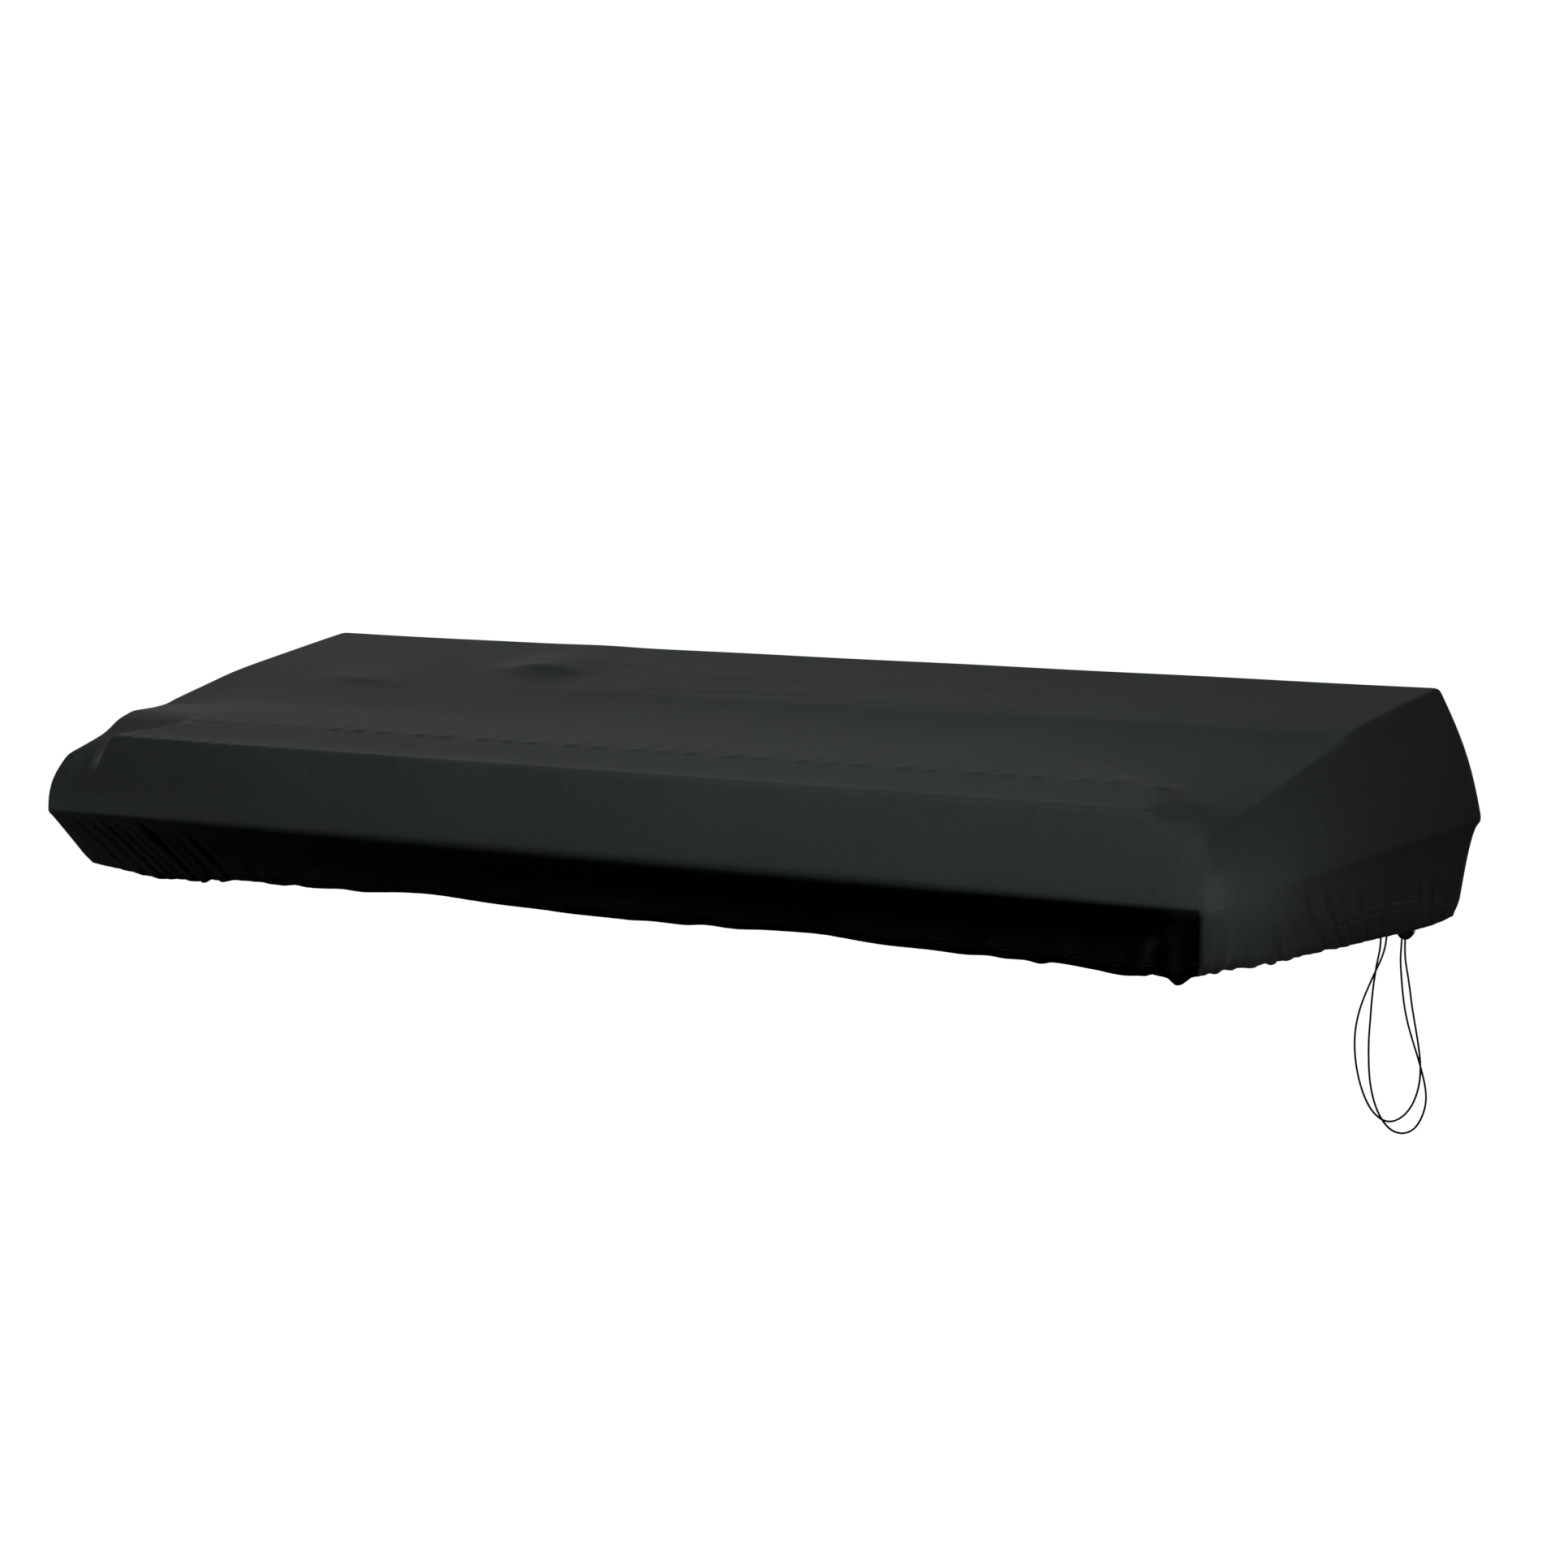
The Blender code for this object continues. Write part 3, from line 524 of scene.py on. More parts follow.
def soft_ramp(distance, softness):
    curve = (distance + softness) ** 2 / (4 * softness)
    return np.where(distance > softness, distance, np.where(distance < -softness, 0, curve))


def key_dents(x, y):
    """A row of small tents in the cloth: gentle behind, steep in front."""
    draw = random.Random(8)
    front = rise(y, BLACK_KEYS_AT - 2.0, 4.0)
    tail = np.exp(-np.clip(y - BLACK_KEYS_AT - 2.0, 0, None) / 9)
    height = np.zeros_like(x + y)
    for octave in range(OCTAVES):
        for key in BLACK_KEYS:
            at = KEYS_LEFT + octave * OCTAVE + key
            if at > KEYS_RIGHT - 10:
                continue
            tall = DENT_HEIGHT * draw.uniform(0.7, 1.1)
            if octave == 0:
                tall *= 1.0 if key == BLACK_KEYS[0] else 0.4
            if at > KEYS_RIGHT - 40:
                tall *= 0.6
            height += tall * bell(x - at, DENT_WIDTH)
    return height * front * tail


def key_gaps(x, y):
    """Small nicks in the front ridge at even steps, clearest at the left."""
    place = (x - KEYS_LEFT) / WHITE_KEY
    off = np.abs(place - np.round(place)) * WHITE_KEY
    inside = (x > KEYS_LEFT + 10) & (x < KEYS_RIGHT - 10)
    depth = 0.25 + 0.85 * rise(x, -150, -250)
    return -inside.astype(float) * depth * bell(off, 2.6) * bell(y, 7)


def tent(off, front, back):
    """Profile of a crease: steep in front of its crest and gentle behind it."""
    away = np.where(off < 0, -off / front, off / back)
    return np.exp(-(away ** 2) / (0.35 + away))


def beside_line(a, b, a0, b0, a1, b1):
    """Distance from a straight line, and a share that fades at both of its ends."""
    length = math.hypot(a1 - a0, b1 - b0)
    ua, ub = (a1 - a0) / length, (b1 - b0) / length
    on = ((a - a0) * ua + (b - b0) * ub) / length
    off = (b - b0) * ua - (a - a0) * ub
    return off, rise(on, -0.15, 0.3) * rise(on, 1.15, -0.3)


def creased(x, y, rows):
    height = np.zeros_like(x + y)
    for *line, front, back, tall in rows:
        off, share = beside_line(x, y, *line)
        height += tall * share * tent(off, front, back)
    return height


def bumps(x, y):
    height = np.zeros_like(x + y)
    for at_x, at_y, along_x, front, back, tall, turn in BUMPS:
        off = y - at_y - turn * (x - at_x)
        height += tall * bell(x - at_x, along_x) * tent(off, front, back)
    return height


def line_relief(across, up, rows):
    """Soft ridges or troughs along straight lines on a wall."""
    depth = np.zeros_like(across + up)
    for *line, half, tall in rows:
        off, share = beside_line(across, up, *line)
        depth += tall * share * bell(off, half)
    return depth


def left_share(x, y):
    """Share of the fall to the left edge: a hollow beside the ridge, even further back."""
    start = KEYS_LEFT - 2.5 + (LEFT_SADDLE + 2.5) * rise(y, 2, 55)
    reach = start - along(LEFT_EDGE, y)
    past = soft_ramp(start - x, 1.5 + 0.2 * np.clip(y, 0, None))
    even = past / reach
    steep = (1 - np.exp(-past / LEFT_HOLLOW)) / (1 - np.exp(-reach / LEFT_HOLLOW))
    return mix(even, steep, rise(y, 75, -60))


def right_share(x, y):
    """Share of the fall to the right edge, even all the way."""
    start = KEYS_RIGHT - 5 - RIGHT_SADDLE * rise(y, 25, 90)
    reach = along(RIGHT_EDGE, y) - start
    return soft_ramp(x - start, 5 + 0.22 * np.clip(y, 0, None)) / reach


def top_height(x, y):
    """Height of the cloth's upper side, with the lower end cheeks and all its relief."""
    middle = mix(along(MIDDLE, y), along(MIDDLE_LEFT, y), rise(x, -130, -170))
    z = middle + left_share(x, y) * (along(LEFT_EDGE, y, 2) - middle)
    z = z + right_share(x, y) * (along(RIGHT_EDGE, y, 2) - middle)
    z = z + bumps(x, y) + key_dents(x, y) + key_gaps(x, y) + creased(x, y, CREASES)
    at, half, reach, depth = TIP_HOLLOW
    z = z - depth * bell(x - at, half) * bell(y, reach)
    uneven = np.sin(x / 61 + y / 37) * np.sin(x / 97 - y / 29 + 2) * 0.25
    return z + uneven * rise(y, 60, 40)


def top_front_y(x):
    """y of the front edge: on the front's plane at the ridge, set back at both ends."""
    front = np.zeros_like(x)
    fall = left_share(x, front) * -LEFT_EDGE[0][2] + right_share(x, front) * -RIGHT_EDGE[0][2]
    past = np.maximum(soft_ramp(KEYS_LEFT - x, 6), soft_ramp(x - KEYS_RIGHT, 6))
    in_plane = CREASE_FRONT * fall / 64
    return in_plane + (TOP_FRONT + 1.6) * rise(past, 0, 60)


def shoulder(x):
    """How far the rounding of the front edge reaches: crisp at the ridge, soft at the ends."""
    along_keys = 2.0 + 3.5 * rise(x, -300, 600)
    at_left = 20.0 * rise(x, KEYS_LEFT - 1, -16)
    at_right = 14.0 * rise(x, KEYS_RIGHT + 2, 22)
    corner = rise(x, KEYS_LEFT - 45, -16) + rise(x, KEYS_RIGHT + 28, 16)
    return along_keys + (at_left + at_right) * (1 - 0.75 * corner)


def joined(x, y, z):
    return np.stack(np.broadcast_arrays(x, y, z), axis=-1)


def on_top(x, y):
    return joined(x, y, top_height(x, y))


def top_ring(side, u):
    """The sharp upper edge of one side, in the order front, right, back, left."""
    if side == "front":
        x = mix(along(LEFT_EDGE, TOP_FRONT), along(RIGHT_EDGE, TOP_FRONT), u)
        return on_top(x, top_front_y(x))
    if side == "right":
        y = mix(TOP_FRONT, TOP_BACK, u)
        return on_top(along(RIGHT_EDGE, y), y)
    if side == "back":
        x = mix(along(RIGHT_EDGE, TOP_BACK), along(LEFT_EDGE, TOP_BACK), u)
        return on_top(x, np.full_like(x, TOP_BACK))
    y = mix(TOP_BACK, TOP_FRONT, u)
    return on_top(along(LEFT_EDGE, y), y)


def inner_ring(side, u):
    """Where the rounding of the upper edge starts on the top."""
    x, y = top_ring(side, u).T[:2]
    front = shoulder(x)
    if side == "front":
        x = mix(x[0] + 4, x[-1] - 2.4, u)
        return on_top(x, top_front_y(x) + shoulder(x))
    if side == "back":
        x = mix(x[0] - 2.5, x[-1] + 4, u)
        return on_top(x, y - 4.0)
    if side == "right":
        return on_top(x - 2.4, y + mix(front[0], -4.0, u))
    return on_top(x + 4, y + mix(-4.0, front[-1], u))


def crease_ring(side, u):
    if side == "front":
        x = mix(LEFT_END, RIGHT_END - CORNER_CUT, u)
        y = CREASE_FRONT - CORNER_PUSH * rise(x, 550, 40)
        return joined(x, y, along(CREASE_FRONT_EDGE, x))
    if side == "back":
        x = mix(RIGHT_END, LEFT_END, u)
        return joined(x, CREASE_BACK, along(CREASE_BACK_EDGE, x))
    if side == "right":
        front = CREASE_FRONT - CORNER_PUSH
        y = mix(front, CREASE_BACK, u)
        x = RIGHT_END - CORNER_CUT * np.clip(1 - (y - front) / CORNER_CUT_LENGTH, 0, 1) ** 1.6
        return joined(x, y, along(CREASE_RIGHT_EDGE, y))
    y = mix(CREASE_BACK, CREASE_FRONT, u)
    return joined(LEFT_END, y, along(CREASE_LEFT_EDGE, y))


def hem_ring(side, u):
    """The hem's lower edge; it stands further out at the right end's back corner."""
    corner_x, corner_y = HEM_RIGHT + HEM_CORNER, HEM_BACK + HEM_CORNER
    if side == "front":
        x = mix(HEM_LEFT, HEM_RIGHT, u)
        y = HEM_FRONT - 3.0 * rise(x, 540, 35) - 3.0 * rise(x, -530, -40)
        return joined(x, y, along(HEM_FRONT_EDGE, x))
    if side == "right":
        y = mix(HEM_FRONT - 3.0, corner_y, u)
        x = HEM_RIGHT + HEM_CORNER * rise(y, 200, 120)
        return joined(x, y, along(HEM_RIGHT_EDGE, y))
    if side == "back":
        x = mix(corner_x, HEM_LEFT, u)
        y = HEM_BACK + HEM_CORNER * rise(x, 400, 150)
        z = -110.5 - 1.2 * np.sin(x / 31) - 0.8 * np.sin(x / 13 + 1)
        return joined(x, y, z + 2.0 * rise(x, 500, 70))
    y = mix(HEM_BACK, HEM_FRONT - 3.0, u)
    z = -112.5 - 1.2 * np.sin(y / 23) - 0.8 * np.sin(y / 11 + 2)
    return joined(HEM_LEFT, y, z + 3.0 * rise(y, 50, -40))


# Rounding of each ring in plan at its corners: where each side, in the order of SIDES, starts
ROUNDING = {
    inner_ring: (3.0, 3.0, 3.0, 3.0),
    top_ring: (5.0, 2.5, 3.0, 5.0),
    crease_ring: (5.0, 5.0, 5.0, 7.0),
    hem_ring: (12.0, 5.0, 9.0, 20.0),
}


def span(ring, side):
    ends = ring(side, np.array([0.0, 1.0]))
    return float(np.linalg.norm(ends[1] - ends[0]))


def rounded(ring, side, u):
    """A ring's points on one side, with both of its corners rounded."""
    points = ring(side, u)
    place = SIDES.index(side)
    before, after = SIDES[place - 1], SIDES[(place + 1) % len(SIDES)]
    for first, second in ((before, side), (side, after)):
        reach = ROUNDING[ring][SIDES.index(second)]
        on_first, on_second = reach / span(ring, first), reach / span(ring, second)
        start = ring(first, np.array([0.0, 1 - on_first, 1.0]))[1]
        tip, end = ring(second, np.array([0.0, on_second, 1.0]))[:2]
        if second == side:
            near = u < on_second
            t = 0.5 + 0.5 * u / on_second
        else:
            near = u > 1 - on_first
            t = 0.5 * (u - 1 + on_first) / on_first
        points = np.where(near[:, None], bend(start, tip, end, t[:, None]), points)
    return points


def spread(places):
    """Places along a side as shares of its length, finer next to both corners."""
    first, last = places[0], places[-1]
    inner = [p for p in places if first + CORNER_STEPS[-1] + 2 < p < last - CORNER_STEPS[-1] - 2]
    near = [0.0, *CORNER_STEPS]
    start = [first + p for p in near]
    end = [last - p for p in reversed(near)]
    return (np.array(start + inner + end) - first) / (last - first)


def evened(shares):
    """The same shares with an even count of steps between them."""
    if len(shares) % 2 == 1:
        return shares
    widest = int(np.argmax(np.diff(shares)))
    return np.insert(shares, widest + 1, (shares[widest] + shares[widest + 1]) / 2)


def stations():
    """Columns of the mesh along x, with one at each nick of the ridge, and along y."""
    left, right = float(along(LEFT_EDGE, TOP_FRONT)), float(along(RIGHT_EDGE, TOP_FRONT))
    ends = (left, KEYS_LEFT, KEYS_LEFT + FINE_KEYS * WHITE_KEY, KEYS_RIGHT, right)
    steps = (END_STEP, KEY_STEP / 2, KEY_STEP, END_STEP)
    parts = zip(ends, ends[1:], steps)
    x = [p for start, end, step in parts for p in np.arange(start, end - 1, step)] + [right]
    y, place = [], TOP_FRONT
    while place < TOP_BACK - 1:
        y.append(place)
        place += DENT_STEP if 50.5 < place < 59 else DEPTH_STEP
    return evened(spread(x)), evened(spread(y + [TOP_BACK]))


def lengths(vectors):
    return np.linalg.norm(vectors, axis=1)[:, None]


def run_along(path):
    """Distance along a path, or along many side by side, at each of its points."""
    steps = np.linalg.norm(np.diff(path, axis=0), axis=-1)
    return np.concatenate([np.zeros_like(steps[:1]), np.cumsum(steps, axis=0)])


def plan_normals(ring):
    """Unit vectors that point out of a closed ring in plan; the ring runs anticlockwise."""
    way = np.roll(ring, -1, axis=0) - np.roll(ring, 1, axis=0)
    out = np.stack([way[:, 1], -way[:, 0], np.zeros(len(ring))], axis=-1)
    return out / lengths(out)


def hidden_folds(first, last, seed):
    draw = random.Random(seed)
    rows = []
    place = first + 20
    while place < last - 20:
        depth = draw.choice((-2.0, -1.2, 1.5))
        rows.append((place, place + draw.uniform(-6, 6), draw.uniform(7, 11), depth, 0.2))
        place += draw.uniform(28, 52)
    return rows


FOLDS = {
    "front": FRONT_FOLDS,
    "right": RIGHT_FOLDS,
    "back": hidden_folds(LEFT_END, RIGHT_END, 3),
    "left": hidden_folds(CREASE_FRONT, CREASE_BACK, 5),
}


def fold_depth(side, place, share):
    """How far the gathers move the cloth outwards; each has a soft lip on one side."""
    depth = np.zeros_like(place)
    for at_crease, at_hem, half_width, fold, start in FOLDS[side]:
        middle = mix(at_crease, at_hem, share)
        fade = rise(share, start, 0.3)
        off = (place - middle) / half_width
        depth += fold * fade * (bell(off) - 0.35 * bell(off - 1.7))
    ripple = np.sin(place / 1.9) * np.sin(place / 7.3 + 1) + 0.6 * np.sin(place / 3.1 + share * 3)
    depth += 0.22 * ripple * rise(share, 0.1, 0.5)
    return depth


def wall_bulge(side, place):
    return np.full_like(place, WALL_BULGE[side])


def crease_softness(side, place):
    """Radius of the bend at the crease: it fades in the front part of the right end."""
    if side == "front":
        return 8.5 - 6.5 * rise(place, -400, -110)
    soft = np.full_like(place, 3.0)
    if side == "right":
        soft += 7 * rise(place, 10, 22) * rise(place, 105, -50)
    return soft


def tuck_depth(side, place, u):
    """How far the cloth draws in under the crease: less at corners and where it fades."""
    depth = TUCK * rise(np.minimum(u, 1 - u) * span(crease_ring, side), 0, TUCK_REACH)
    if side == "right":
        depth *= rise(place, 70, 60)
        depth += 3.0 * rise(place, 290, 40)
    if side == "back":
        depth += 3.0 * rise(place, 540, 40)
    return np.maximum(depth, TUCK_AT_CORNERS)


def hem_curl(side, place):
    """How far the lowest few millimetres turn in: most at the front of the right end."""
    if side == "right":
        return 0.8 + 5.5 * rise(place, 66, -22) + 4 * rise(place, 300, 30)
    return np.full_like(place, 1.5)


def run_axis(side):
    return SIDES.index(side) % 2


def side_stretches(crease, columns):
    """Each side's name, its stretch of a closed ring, and its places in mm and as shares."""
    stretches, first = [], 0
    for side, u in columns:
        here = slice(first, first + len(u) - 1)
        place = crease[here, run_axis(side)]
        stretches.append((side, here, place, u[:-1]))
        first = here.stop
    return stretches


def all_round(stretches, measure):
    """A measure of each side as one closed ring, its jumps spread over the neighbours."""
    values = np.concatenate([measure(side, place) for side, here, place, u in stretches])
    for _ in range(SPREAD_ROUNDS):
        values = (np.roll(values, 1) + values * 2 + np.roll(values, -1)) / 4
    return values[:, None]


def upper_rows(inner, top, crease, crease_end, soft, out, stretches):
    """Rows from the top's rounding to just under the crease."""
    bulge = all_round(stretches, wall_bulge)
    height = lengths(crease - top)
    reach = np.abs(np.sum((inner - top) * plan_normals(top), axis=1))[:, None]
    start = np.minimum(reach / height, 0.4)
    end = 1 - soft / height

    def wall(t):
        return mix(top, crease, t) + out * bulge * np.sin(math.pi * t)

    rows = [bend(inner, top, wall(start), t) for t in EDGE_ROWS]
    rows += [wall(mix(start, end, t)) for t in UPPER_ROWS]
    rows += [bend(wall(end), crease, crease_end, t) for t in CREASE_ROWS]
    for side, here, place, u in stretches:
        for row in rows[1:] if side in WALL_CREASES else ():
            across = row[here, run_axis(side)]
            depth = line_relief(across, row[here, 2], WALL_CREASES[side])
            row[here] += out[here] * depth[:, None]
    return rows


def lower_rows(start, hem, out, stretches):
    """Rows from under the crease to the hem: drawn in, gathered and curled at the end."""
    tuck = np.concatenate([tuck_depth(side, place, u) for side, here, place, u in stretches])
    curl = all_round(stretches, hem_curl)
    rows = []
    for t in LOWER_ROWS:
        folds = np.concatenate([fold_depth(side, place, t) for side, here, place, u in stretches])
        folds -= tuck * math.sin(math.pi * t ** 0.5)
        inwards = curl * max(0.0, (t - CURL_START) / (1 - CURL_START)) ** 2
        rows.append(mix(start, hem, t) + out * (folds[:, None] - inwards))
    return rows


def wall_rows(columns):
    """Rows of points from the top's rounding down to the hem and up its folded inside."""
    inner, top, crease, hem = (
        np.concatenate([rounded(ring, side, u)[:-1] for side, u in columns])
        for ring in (inner_ring, top_ring, crease_ring, hem_ring)
    )
    stretches = side_stretches(crease, columns)
    out = plan_normals(crease)
    soft = all_round(stretches, crease_softness)
    drop = hem - crease
    crease_end = crease + drop * soft / lengths(drop)
    rows = upper_rows(inner, top, crease, crease_end, soft, out, stretches)
    rows += lower_rows(crease_end, hem, out, stretches)
    edge = rows[-1]
    rows += [edge - out * inwards + np.array((0, 0, lift)) for inwards, lift in HEM_TURN]
    return rows, crease, {side: here for side, here, place, u in stretches}


def top_grid(first_row, nx, ny):
    """Inner points of the top, spread between its four edges (a Coons patch in plan)."""
    front = first_row[: nx + 1, :2]
    right = first_row[nx : nx + ny + 1, :2]
    back = first_row[nx + ny : 2 * nx + ny + 1, :2][::-1]
    left = np.concatenate([first_row[2 * nx + ny :, :2], first_row[:1, :2]])[::-1]
    u = ((front[:, 0] - front[0, 0]) / (front[-1, 0] - front[0, 0]))[:, None, None]
    v = ((left[:, 1] - left[0, 1]) / (left[-1, 1] - left[0, 1]))[None, :, None]
    corners = mix(mix(front[0], front[-1], u), mix(back[0], back[-1], u), v)
    plan = mix(front[:, None], back[:, None], v) + mix(left, right, u) - corners
    return on_top(plan[..., 0], plan[..., 1])


def sheet_faces(rows, crease, grid):
    """Points, faces and flat coordinates of the sheet from its wall rows and its top."""
    nx, ny = grid.shape[0] - 1, grid.shape[1] - 1
    around = len(rows[0])
    points = np.concatenate(list(rows) + [grid[1:-1, 1:-1].reshape(-1, 3)])
    inner_start = around * len(rows)

    def top_index(i, j):
        if j == 0:
            return i
        if i == nx:
            return nx + j
        if j == ny:
            return nx + ny + (nx - i)
        if i == 0:
            return (2 * nx + ny + (ny - j)) % around
        return inner_start + (i - 1) * (ny - 1) + (j - 1)

    girth = run_along(np.concatenate([crease, crease[:1]]))
    fall = run_along(rows)
    faces, flat = [], []
    for i in range(nx):
        for j in range(ny):
            ring = [top_index(*c) for c in ((i, j), (i + 1, j), (i + 1, j + 1), (i, j + 1))]
            faces.append(ring)
            flat += [points[k][:2] for k in ring]
    for row in range(len(rows) - 1):
        upper, lower = row * around, (row + 1) * around
        for k in range(around):
            after = (k + 1) % around
            faces.append([upper + k, lower + k, lower + after, upper + after])
            flat += [
                (girth[k], fall[row][k]),
                (girth[k], fall[row + 1][k]),
                (girth[k + 1], fall[row + 1][after]),
                (girth[k + 1], fall[row][after]),
            ]
    return points, faces, flat


def point_normals(points, faces):
    corners = points[np.array(faces)]
    across = np.cross(corners[:, 2] - corners[:, 0], corners[:, 3] - corners[:, 1])
    total = np.zeros_like(points)
    for k in range(4):
        np.add.at(total, np.array(faces)[:, k], across)
    return total / lengths(total)


def cover_sheet():
    """The whole sheet: a fine outer side, an inner side with half the rows, and the rim."""
    along_x, along_y = stations()
    nx, ny = len(along_x) - 1, len(along_y) - 1
    back_x, back_y = (1 - along_x)[::-1], (1 - along_y)[::-1]
    columns = (("front", along_x), ("right", along_y), ("back", back_x), ("left", back_y))
    rows, crease, where = wall_rows(columns)
    grid = top_grid(rows[0], nx, ny)
    points, faces, flat = sheet_faces(rows, crease, grid)
    half_rows = [row[::2] for row in rows[::2]]
    inside, inside_faces, inside_flat = sheet_faces(half_rows, crease[::2], grid[::2, ::2])
    around, half = len(rows[0]), len(half_rows[0])
    depth = np.full((len(inside), 1), CLOTH_INSIDE)
    depth[half * (HEM_ROW // 2 - 2) : half * len(half_rows)] = CLOTH
    inside = inside - point_normals(inside, inside_faces) * depth
    shift = len(points)
    faces += [[shift + k for k in reversed(face)] for face in inside_faces]
    for ring in range(0, len(inside_flat), 4):
        flat += reversed(inside_flat[ring : ring + 4])
    outer, inner = around * (len(rows) - 1), shift + half * (len(half_rows) - 1)
    for k in range(half):
        a, b, c = outer + 2 * k, outer + 2 * k + 1, outer + (2 * k + 2) % around
        faces.append([inner + k, inner + (k + 1) % half, c, b, a])
        flat += [(0.0, 0.0)] * 5
    return np.concatenate([points, inside]), faces, np.array(flat), rows, where


def metres(points):
    return (np.asarray(points, float) - ORIGIN_AT) * MM


def add_mesh(name, points, faces, finish, body="cover"):
    mesh = bpy.data.meshes.new(name)
    mesh.from_pydata([tuple(p) for p in points], [], faces)
    mesh.validate()
    mesh.shade_smooth()
    mesh.materials.append(finish)
    made = new_object(name, mesh)
    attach(made, body)
    return made


def turns(count):
    return 2 * math.pi * np.arange(count) / count


def ring_points(centre, side, up, turn, radius):
    """Points round a centre at some turns, from the direction side towards up."""
    arms = side * np.cos(turn)[:, None] + up * np.sin(turn)[:, None]
    return list(centre + arms * np.broadcast_to(radius, turn.shape)[:, None])


def tube_faces(rings, sides, start=0):
    """Faces of a tube whose points run ring by ring, with a cap at both ends."""
    faces = []
    for ring in range(rings - 1):
        for k in range(sides):
            a, b = start + ring * sides + k, start + ring * sides + (k + 1) % sides
            faces.append([a, b, b + sides, a + sides])
    faces.append([start + k for k in reversed(range(sides))])
    last = start + (rings - 1) * sides
    faces.append([last + k for k in range(sides)])
    return faces


def make_cloth(finish):
    points, faces, flat, rows, where = cover_sheet()
    cloth = add_mesh("cover_cloth", metres(points), faces, finish)
    layer = cloth.data.uv_layers.new(name="flat")
    layer.data.foreach_set("uv", (flat * MM).ravel())
    return cloth, rows, where


# Stitching


def stitch_height(side, line, hem_point):
    """Height of a stitch line over a point of the hem, or None where the line isn't sewn."""
    if side != "right":
        return hem_point[2] + STITCH_RISE[line]
    y = hem_point[1]
    if not RIGHT_STITCHES[0][0] < y < RIGHT_STITCHES[-1][0]:
        return None
    return float(along(RIGHT_STITCHES, y, line + 1))


def stitch_path(rows, here, side, line):
    """Points of a stitch line on the lower wall of one side, and the outward directions."""
    lower = np.array(rows[LOWER_START : HEM_ROW + 1])
    normals = plan_normals(rows[HEM_ROW])
    path, outs = [], []
    for k in range(here.start, here.stop + 1):
        k %= len(normals)
        column = lower[:, k]
        z = stitch_height(side, line, column[-1])
        if z is None or not column[-1, 2] + 0.3 < z < column[0, 2]:
            continue
        order = np.argsort(column[:, 2])
        path.append([np.interp(z, column[order, 2], column[order, c]) for c in range(3)])
        outs.append(normals[k])
    return np.array(path), np.array(outs)


def stitches_along(path, outs, points, faces):
    """Adds small spindle-shaped stitches at even steps along a path."""
    if len(path) < 2:
        return
    run = run_along(path)
    turn = turns(STITCH_SIDES)
    for at in np.arange(STITCH_START, run[-1] - STITCH_START, STITCH_STEP):
        middle, ahead, out = (
            np.array([np.interp(p, run, table[:, c]) for c in range(3)])
            for p, table in ((at, path), (at + 0.5, path), (at, outs))
        )
        way = (ahead - middle) / np.linalg.norm(ahead - middle)
        side = np.cross(out, way)
        faces += tube_faces(len(STITCH_RINGS), STITCH_SIDES, len(points))
        for place, radius, lift in STITCH_RINGS:
            centre = middle + way * place * STITCH_LENGTH / 2 + out * lift
            points += ring_points(centre, side, out, turn, STITCH_RADIUS * radius)


def make_stitching(name, rows, where, sides, finish):
    points, faces = [], []
    for line in (0, 1):
        for side in sides:
            path, outs = stitch_path(rows, where[side], side, line)
            stitches_along(path, outs, points, faces)
    return add_mesh(name, metres(points), faces, finish)


# Drawcord


def smooth_route(route, count):
    """Even points on a smooth curve through a route, spaced by its chord lengths."""
    knots = np.array(route, float)
    chord = run_along(knots)
    n = len(knots)
    gap = np.diff(chord)
    system = np.zeros((n, n))
    right = np.zeros((n, 3))
    system[0, 0] = system[-1, -1] = 1
    for i in range(1, n - 1):
        system[i, i - 1 : i + 2] = gap[i - 1], 2 * (gap[i - 1] + gap[i]), gap[i]
        change = (knots[i + 1] - knots[i]) / gap[i] - (knots[i] - knots[i - 1]) / gap[i - 1]
        right[i] = 6 * change
    bend_at = np.linalg.solve(system, right)
    at = np.linspace(0, chord[-1], count)
    i = np.clip(np.searchsorted(chord, at, side="right") - 1, 0, n - 2)
    h = gap[i][:, None]
    a = (chord[i + 1] - at)[:, None] / h
    b = 1 - a
    sag = ((a**3 - a) * bend_at[i] + (b**3 - b) * bend_at[i + 1]) * h * h / 6
    return a * knots[i] + b * knots[i + 1] + sag


def make_strand(name, node, route, finish):
    """A round braided cord along its route, with the braid's crossings raised."""
    path = smooth_route(route, CORD_RINGS)
    run = run_along(path)
    way = np.gradient(path, axis=0)
    way /= lengths(way)
    arm = np.cross(way[0], (0.3, 1.0, 0.2))
    turn = turns(CORD_SIDES)
    points = []
    for centre, ahead, at in zip(path, way, run):
        arm = arm - ahead * np.dot(arm, ahead)
        arm /= np.linalg.norm(arm)
        phase = 2 * math.pi * at / CORD_PICK
        braid = np.sin(4 * turn + phase) * np.sin(4 * turn - phase)
        radius = CORD_RADIUS * (0.95 + 0.09 * braid)
        points += ring_points(centre, arm, np.cross(ahead, arm), turn, radius)
    faces = tube_faces(CORD_RINGS, CORD_SIDES)
    strand = add_mesh(name, metres(points), faces, finish)
    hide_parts(node)


# Cord lock


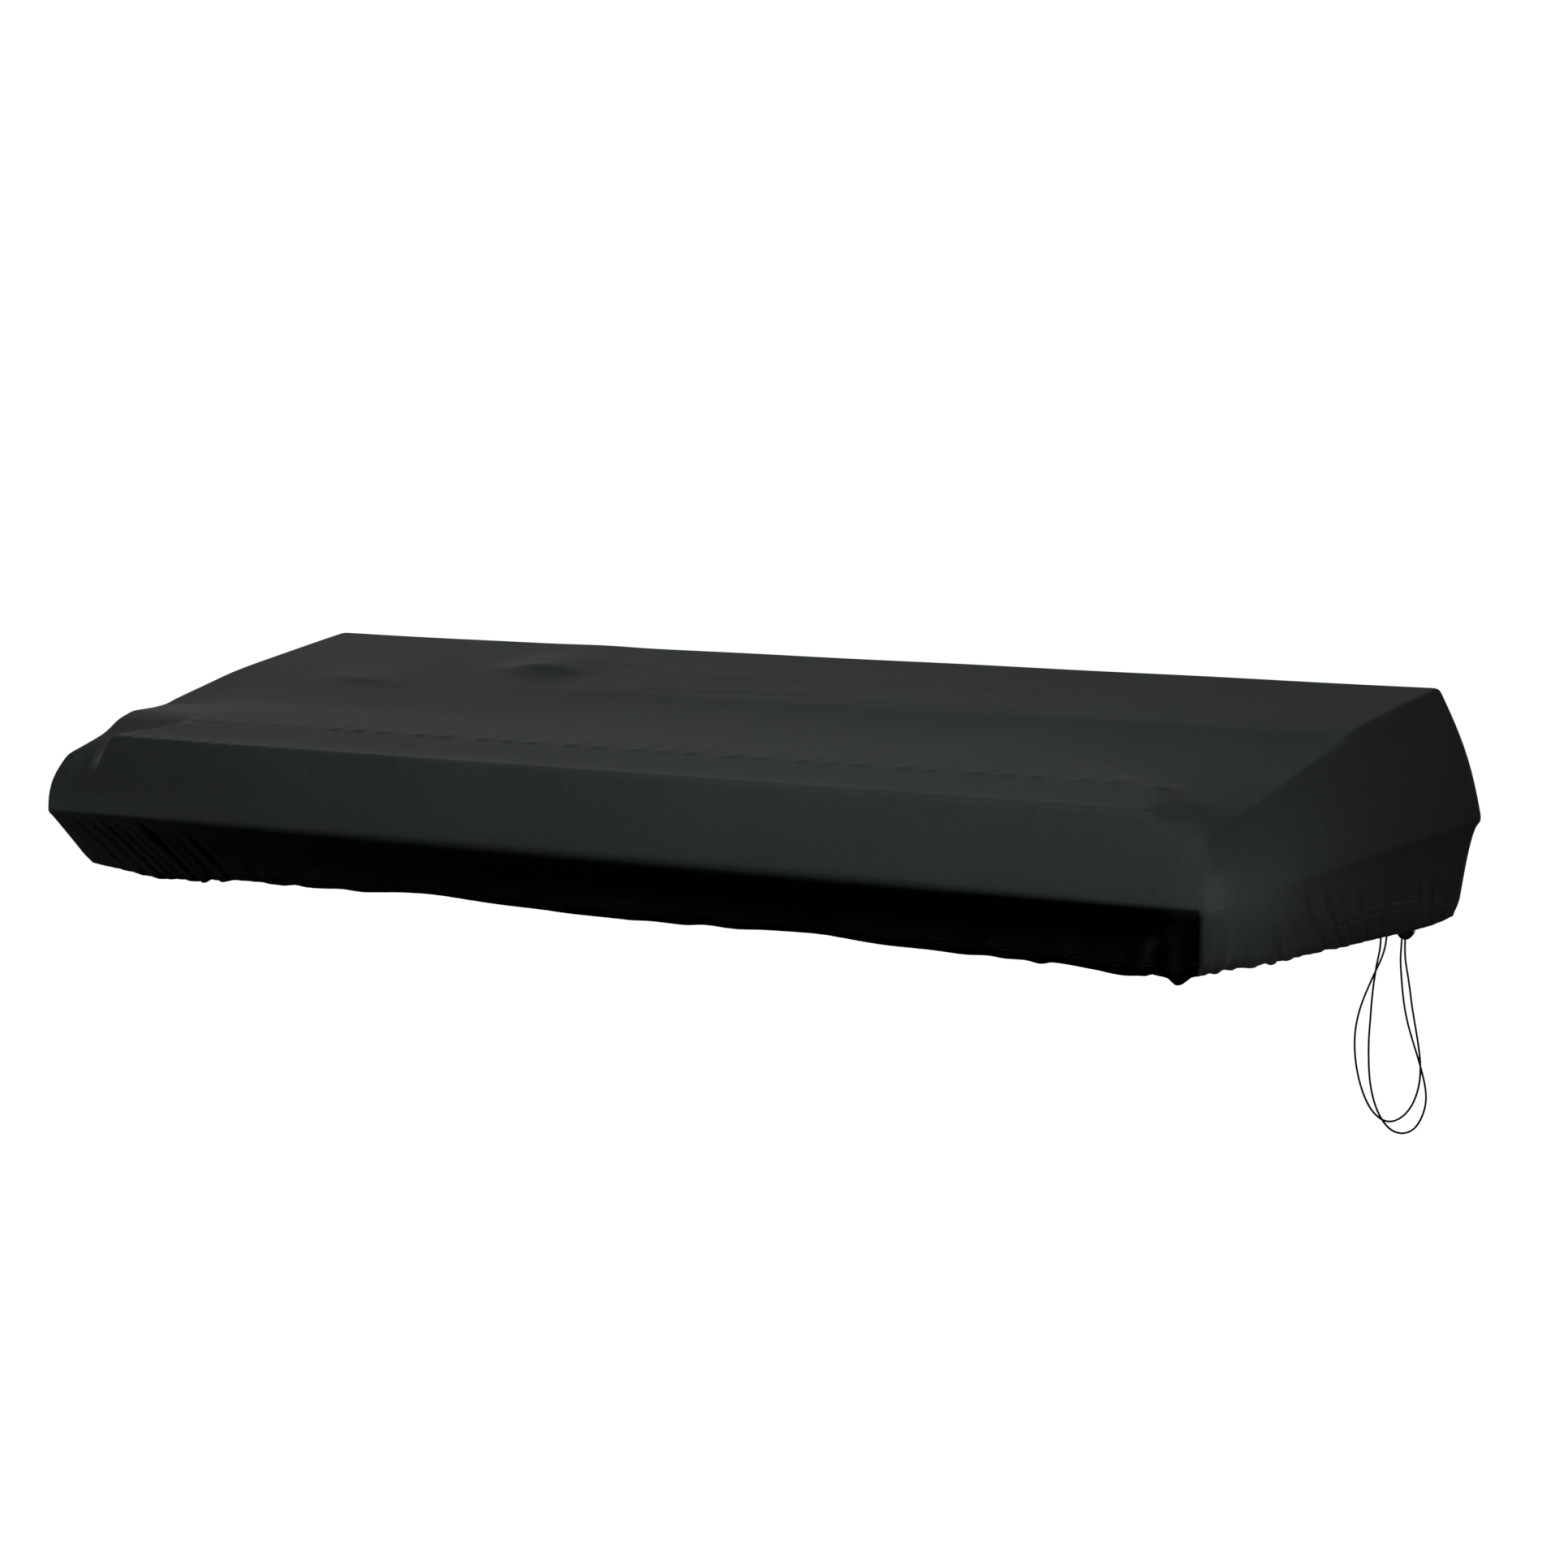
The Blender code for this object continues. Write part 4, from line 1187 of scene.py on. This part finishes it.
def turned_piece(name, profile, finish, body, sides, flutes=0):
    """A solid turned about the lock's axis. A profile's rows are place, radius, depth of flutes."""
    ahead = np.array((math.cos(LOCK_TURN), math.sin(LOCK_TURN), 0))
    side = np.array((-math.sin(LOCK_TURN), math.cos(LOCK_TURN), 0))
    up = np.array((0, 0, 1))
    turn = turns(sides)
    flute = (0.5 - 0.5 * np.cos(turn * flutes)) ** 2
    points = []
    for at, radius, *depth in profile:
        points += ring_points(LOCK_TIP + ahead * at, side, up, turn, radius - sum(depth) * flute)
    faces = tube_faces(len(profile), sides)
    made = add_mesh(name, metres(points), faces, finish, body)
    made.data.set_sharp_from_angle(angle=math.radians(40))
    return made


def make_lock(finish):
    front, back = PLUNGER_PROUD, PLUNGER_PROUD + BARREL_LENGTH
    bore = BARREL_RADIUS - BARREL_WALL
    r = BARREL_RADIUS
    barrel = [
        (back - 2.5, 0.2), (back - 2.5, bore), (front + 0.3, bore), (front, bore + 0.25),
        (front, r - 0.6), (front + 0.25, r - 0.15), (front + 0.7, r), (front + 1.6, r),
        (front + 1.9, r - 0.35), (front + 2.5, r - 0.35), (front + 2.8, r), (back - 7.0, r),
        (back - 2.2, r - 0.05), (back - 1.2, r - 0.35), (back - 0.5, r - 1.0), (back - 0.1, r - 2.0),
        (back, r - 2.8), (back, 0.2),
    ]
    p = PLUNGER_RADIUS
    plunger = [
        (0.35, 0.2), (0.35, p - 2.0), (0.0, p - 1.6), (0.0, p - 0.9),
        (0.25, p - 0.3, FLUTE_DEPTH), (0.7, p, FLUTE_DEPTH), (1.9, p, FLUTE_DEPTH), (2.2, p - 0.2),
        (PLUNGER_LENGTH - 0.3, p - 0.2), (PLUNGER_LENGTH, p - 0.5), (PLUNGER_LENGTH, 0.2),
    ]
    shell = turned_piece("lock_barrel_shell", barrel, finish, "cover", BARREL_SIDES)
    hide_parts("cord_lock_barrel")
    button = turned_piece("lock_plunger_button", plunger, finish, "plunger", PLUNGER_SIDES, FLUTES)
    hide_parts("cord_lock_plunger")


# Studio


def area_light(name, place, aim, size, power):
    light = bpy.data.lights.new(name, "AREA")
    light.shape = "RECTANGLE"
    light.size, light.size_y = size
    light.energy = power
    made = new_object(name, light)
    made.location = place
    made.rotation_euler = (Vector(aim) - Vector(place)).to_track_quat("-Z", "Y").to_euler()
    made.visible_camera = False


def stage_sheet(name, near, far, colour, glow):
    """A sheet of the studio between a near and a far row of corners."""
    mesh = bpy.data.meshes.new(name)
    count = len(near)
    faces = [(k, k + 1, count + k + 1, count + k) for k in range(count - 1)]
    mesh.from_pydata([*near, *far], [], faces)
    g = Graph(name)
    g.surface(Base_Color=(colour, colour, colour, 1), Roughness=0.9, Specular_IOR_Level=0.0)
    g.surface(Emission_Color=(1, 1, 1, 1), Emission_Strength=glow)
    mesh.materials.append(g.material)
    sheet = new_object(name, mesh)
    return sheet


def make_studio():
    ends = (-FLOOR_REACH, FLOOR_REACH)
    near, far = ([(x, y, FLOOR_Z) for x in ends] for y in ends)
    floor = stage_sheet("pale_floor", near, far, 0.12, GLOW)
    floor.visible_diffuse = False
    floor.visible_glossy = False
    card_far = [(x, CARD_FAR_Y, z) for x, y, z in CARD_EDGE]
    card = stage_sheet("shadow_card", CARD_EDGE, card_far, 0.0, 0.0)
    card.visible_camera = False
    world = bpy.data.worlds.new("studio")
    world.use_nodes = True
    bpy.context.scene.world = world
    background = world.node_tree.nodes["Background"].inputs
    background["Color"].default_value = (1, 1, 1, 1)
    background["Strength"].default_value = GLOW
    world.cycles_visibility.diffuse = False
    world.cycles_visibility.glossy = False
    bpy.context.scene.view_settings.view_transform = "Standard"
    for light in LIGHTS:
        area_light(*light)


def main():
    place_camera()
    knit = knit_material("charcoal_knit", *KNIT_TONES)
    thread = thread_material("grey_thread", *THREAD_TONES, THREAD_GRAIN)
    braid = thread_material("black_braid", *BRAID_TONES, BRAID_GRAIN)
    make_strand("drawcord_braid_1", "drawcord_strand_1", STRAND_ONE, braid)
    make_strand("drawcord_braid_2", "drawcord_strand_2", STRAND_TWO, braid)
    cloth, rows, where = make_cloth(knit)
    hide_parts("cover")
    stitching = [
        make_stitching("front_stitching", rows, where, SIDES[:1], thread),
        make_stitching("hem_stitching", rows, where, SIDES[1:], thread),
    ]
    make_lock(plastic_material("black_plastic"))
    make_studio()


main()
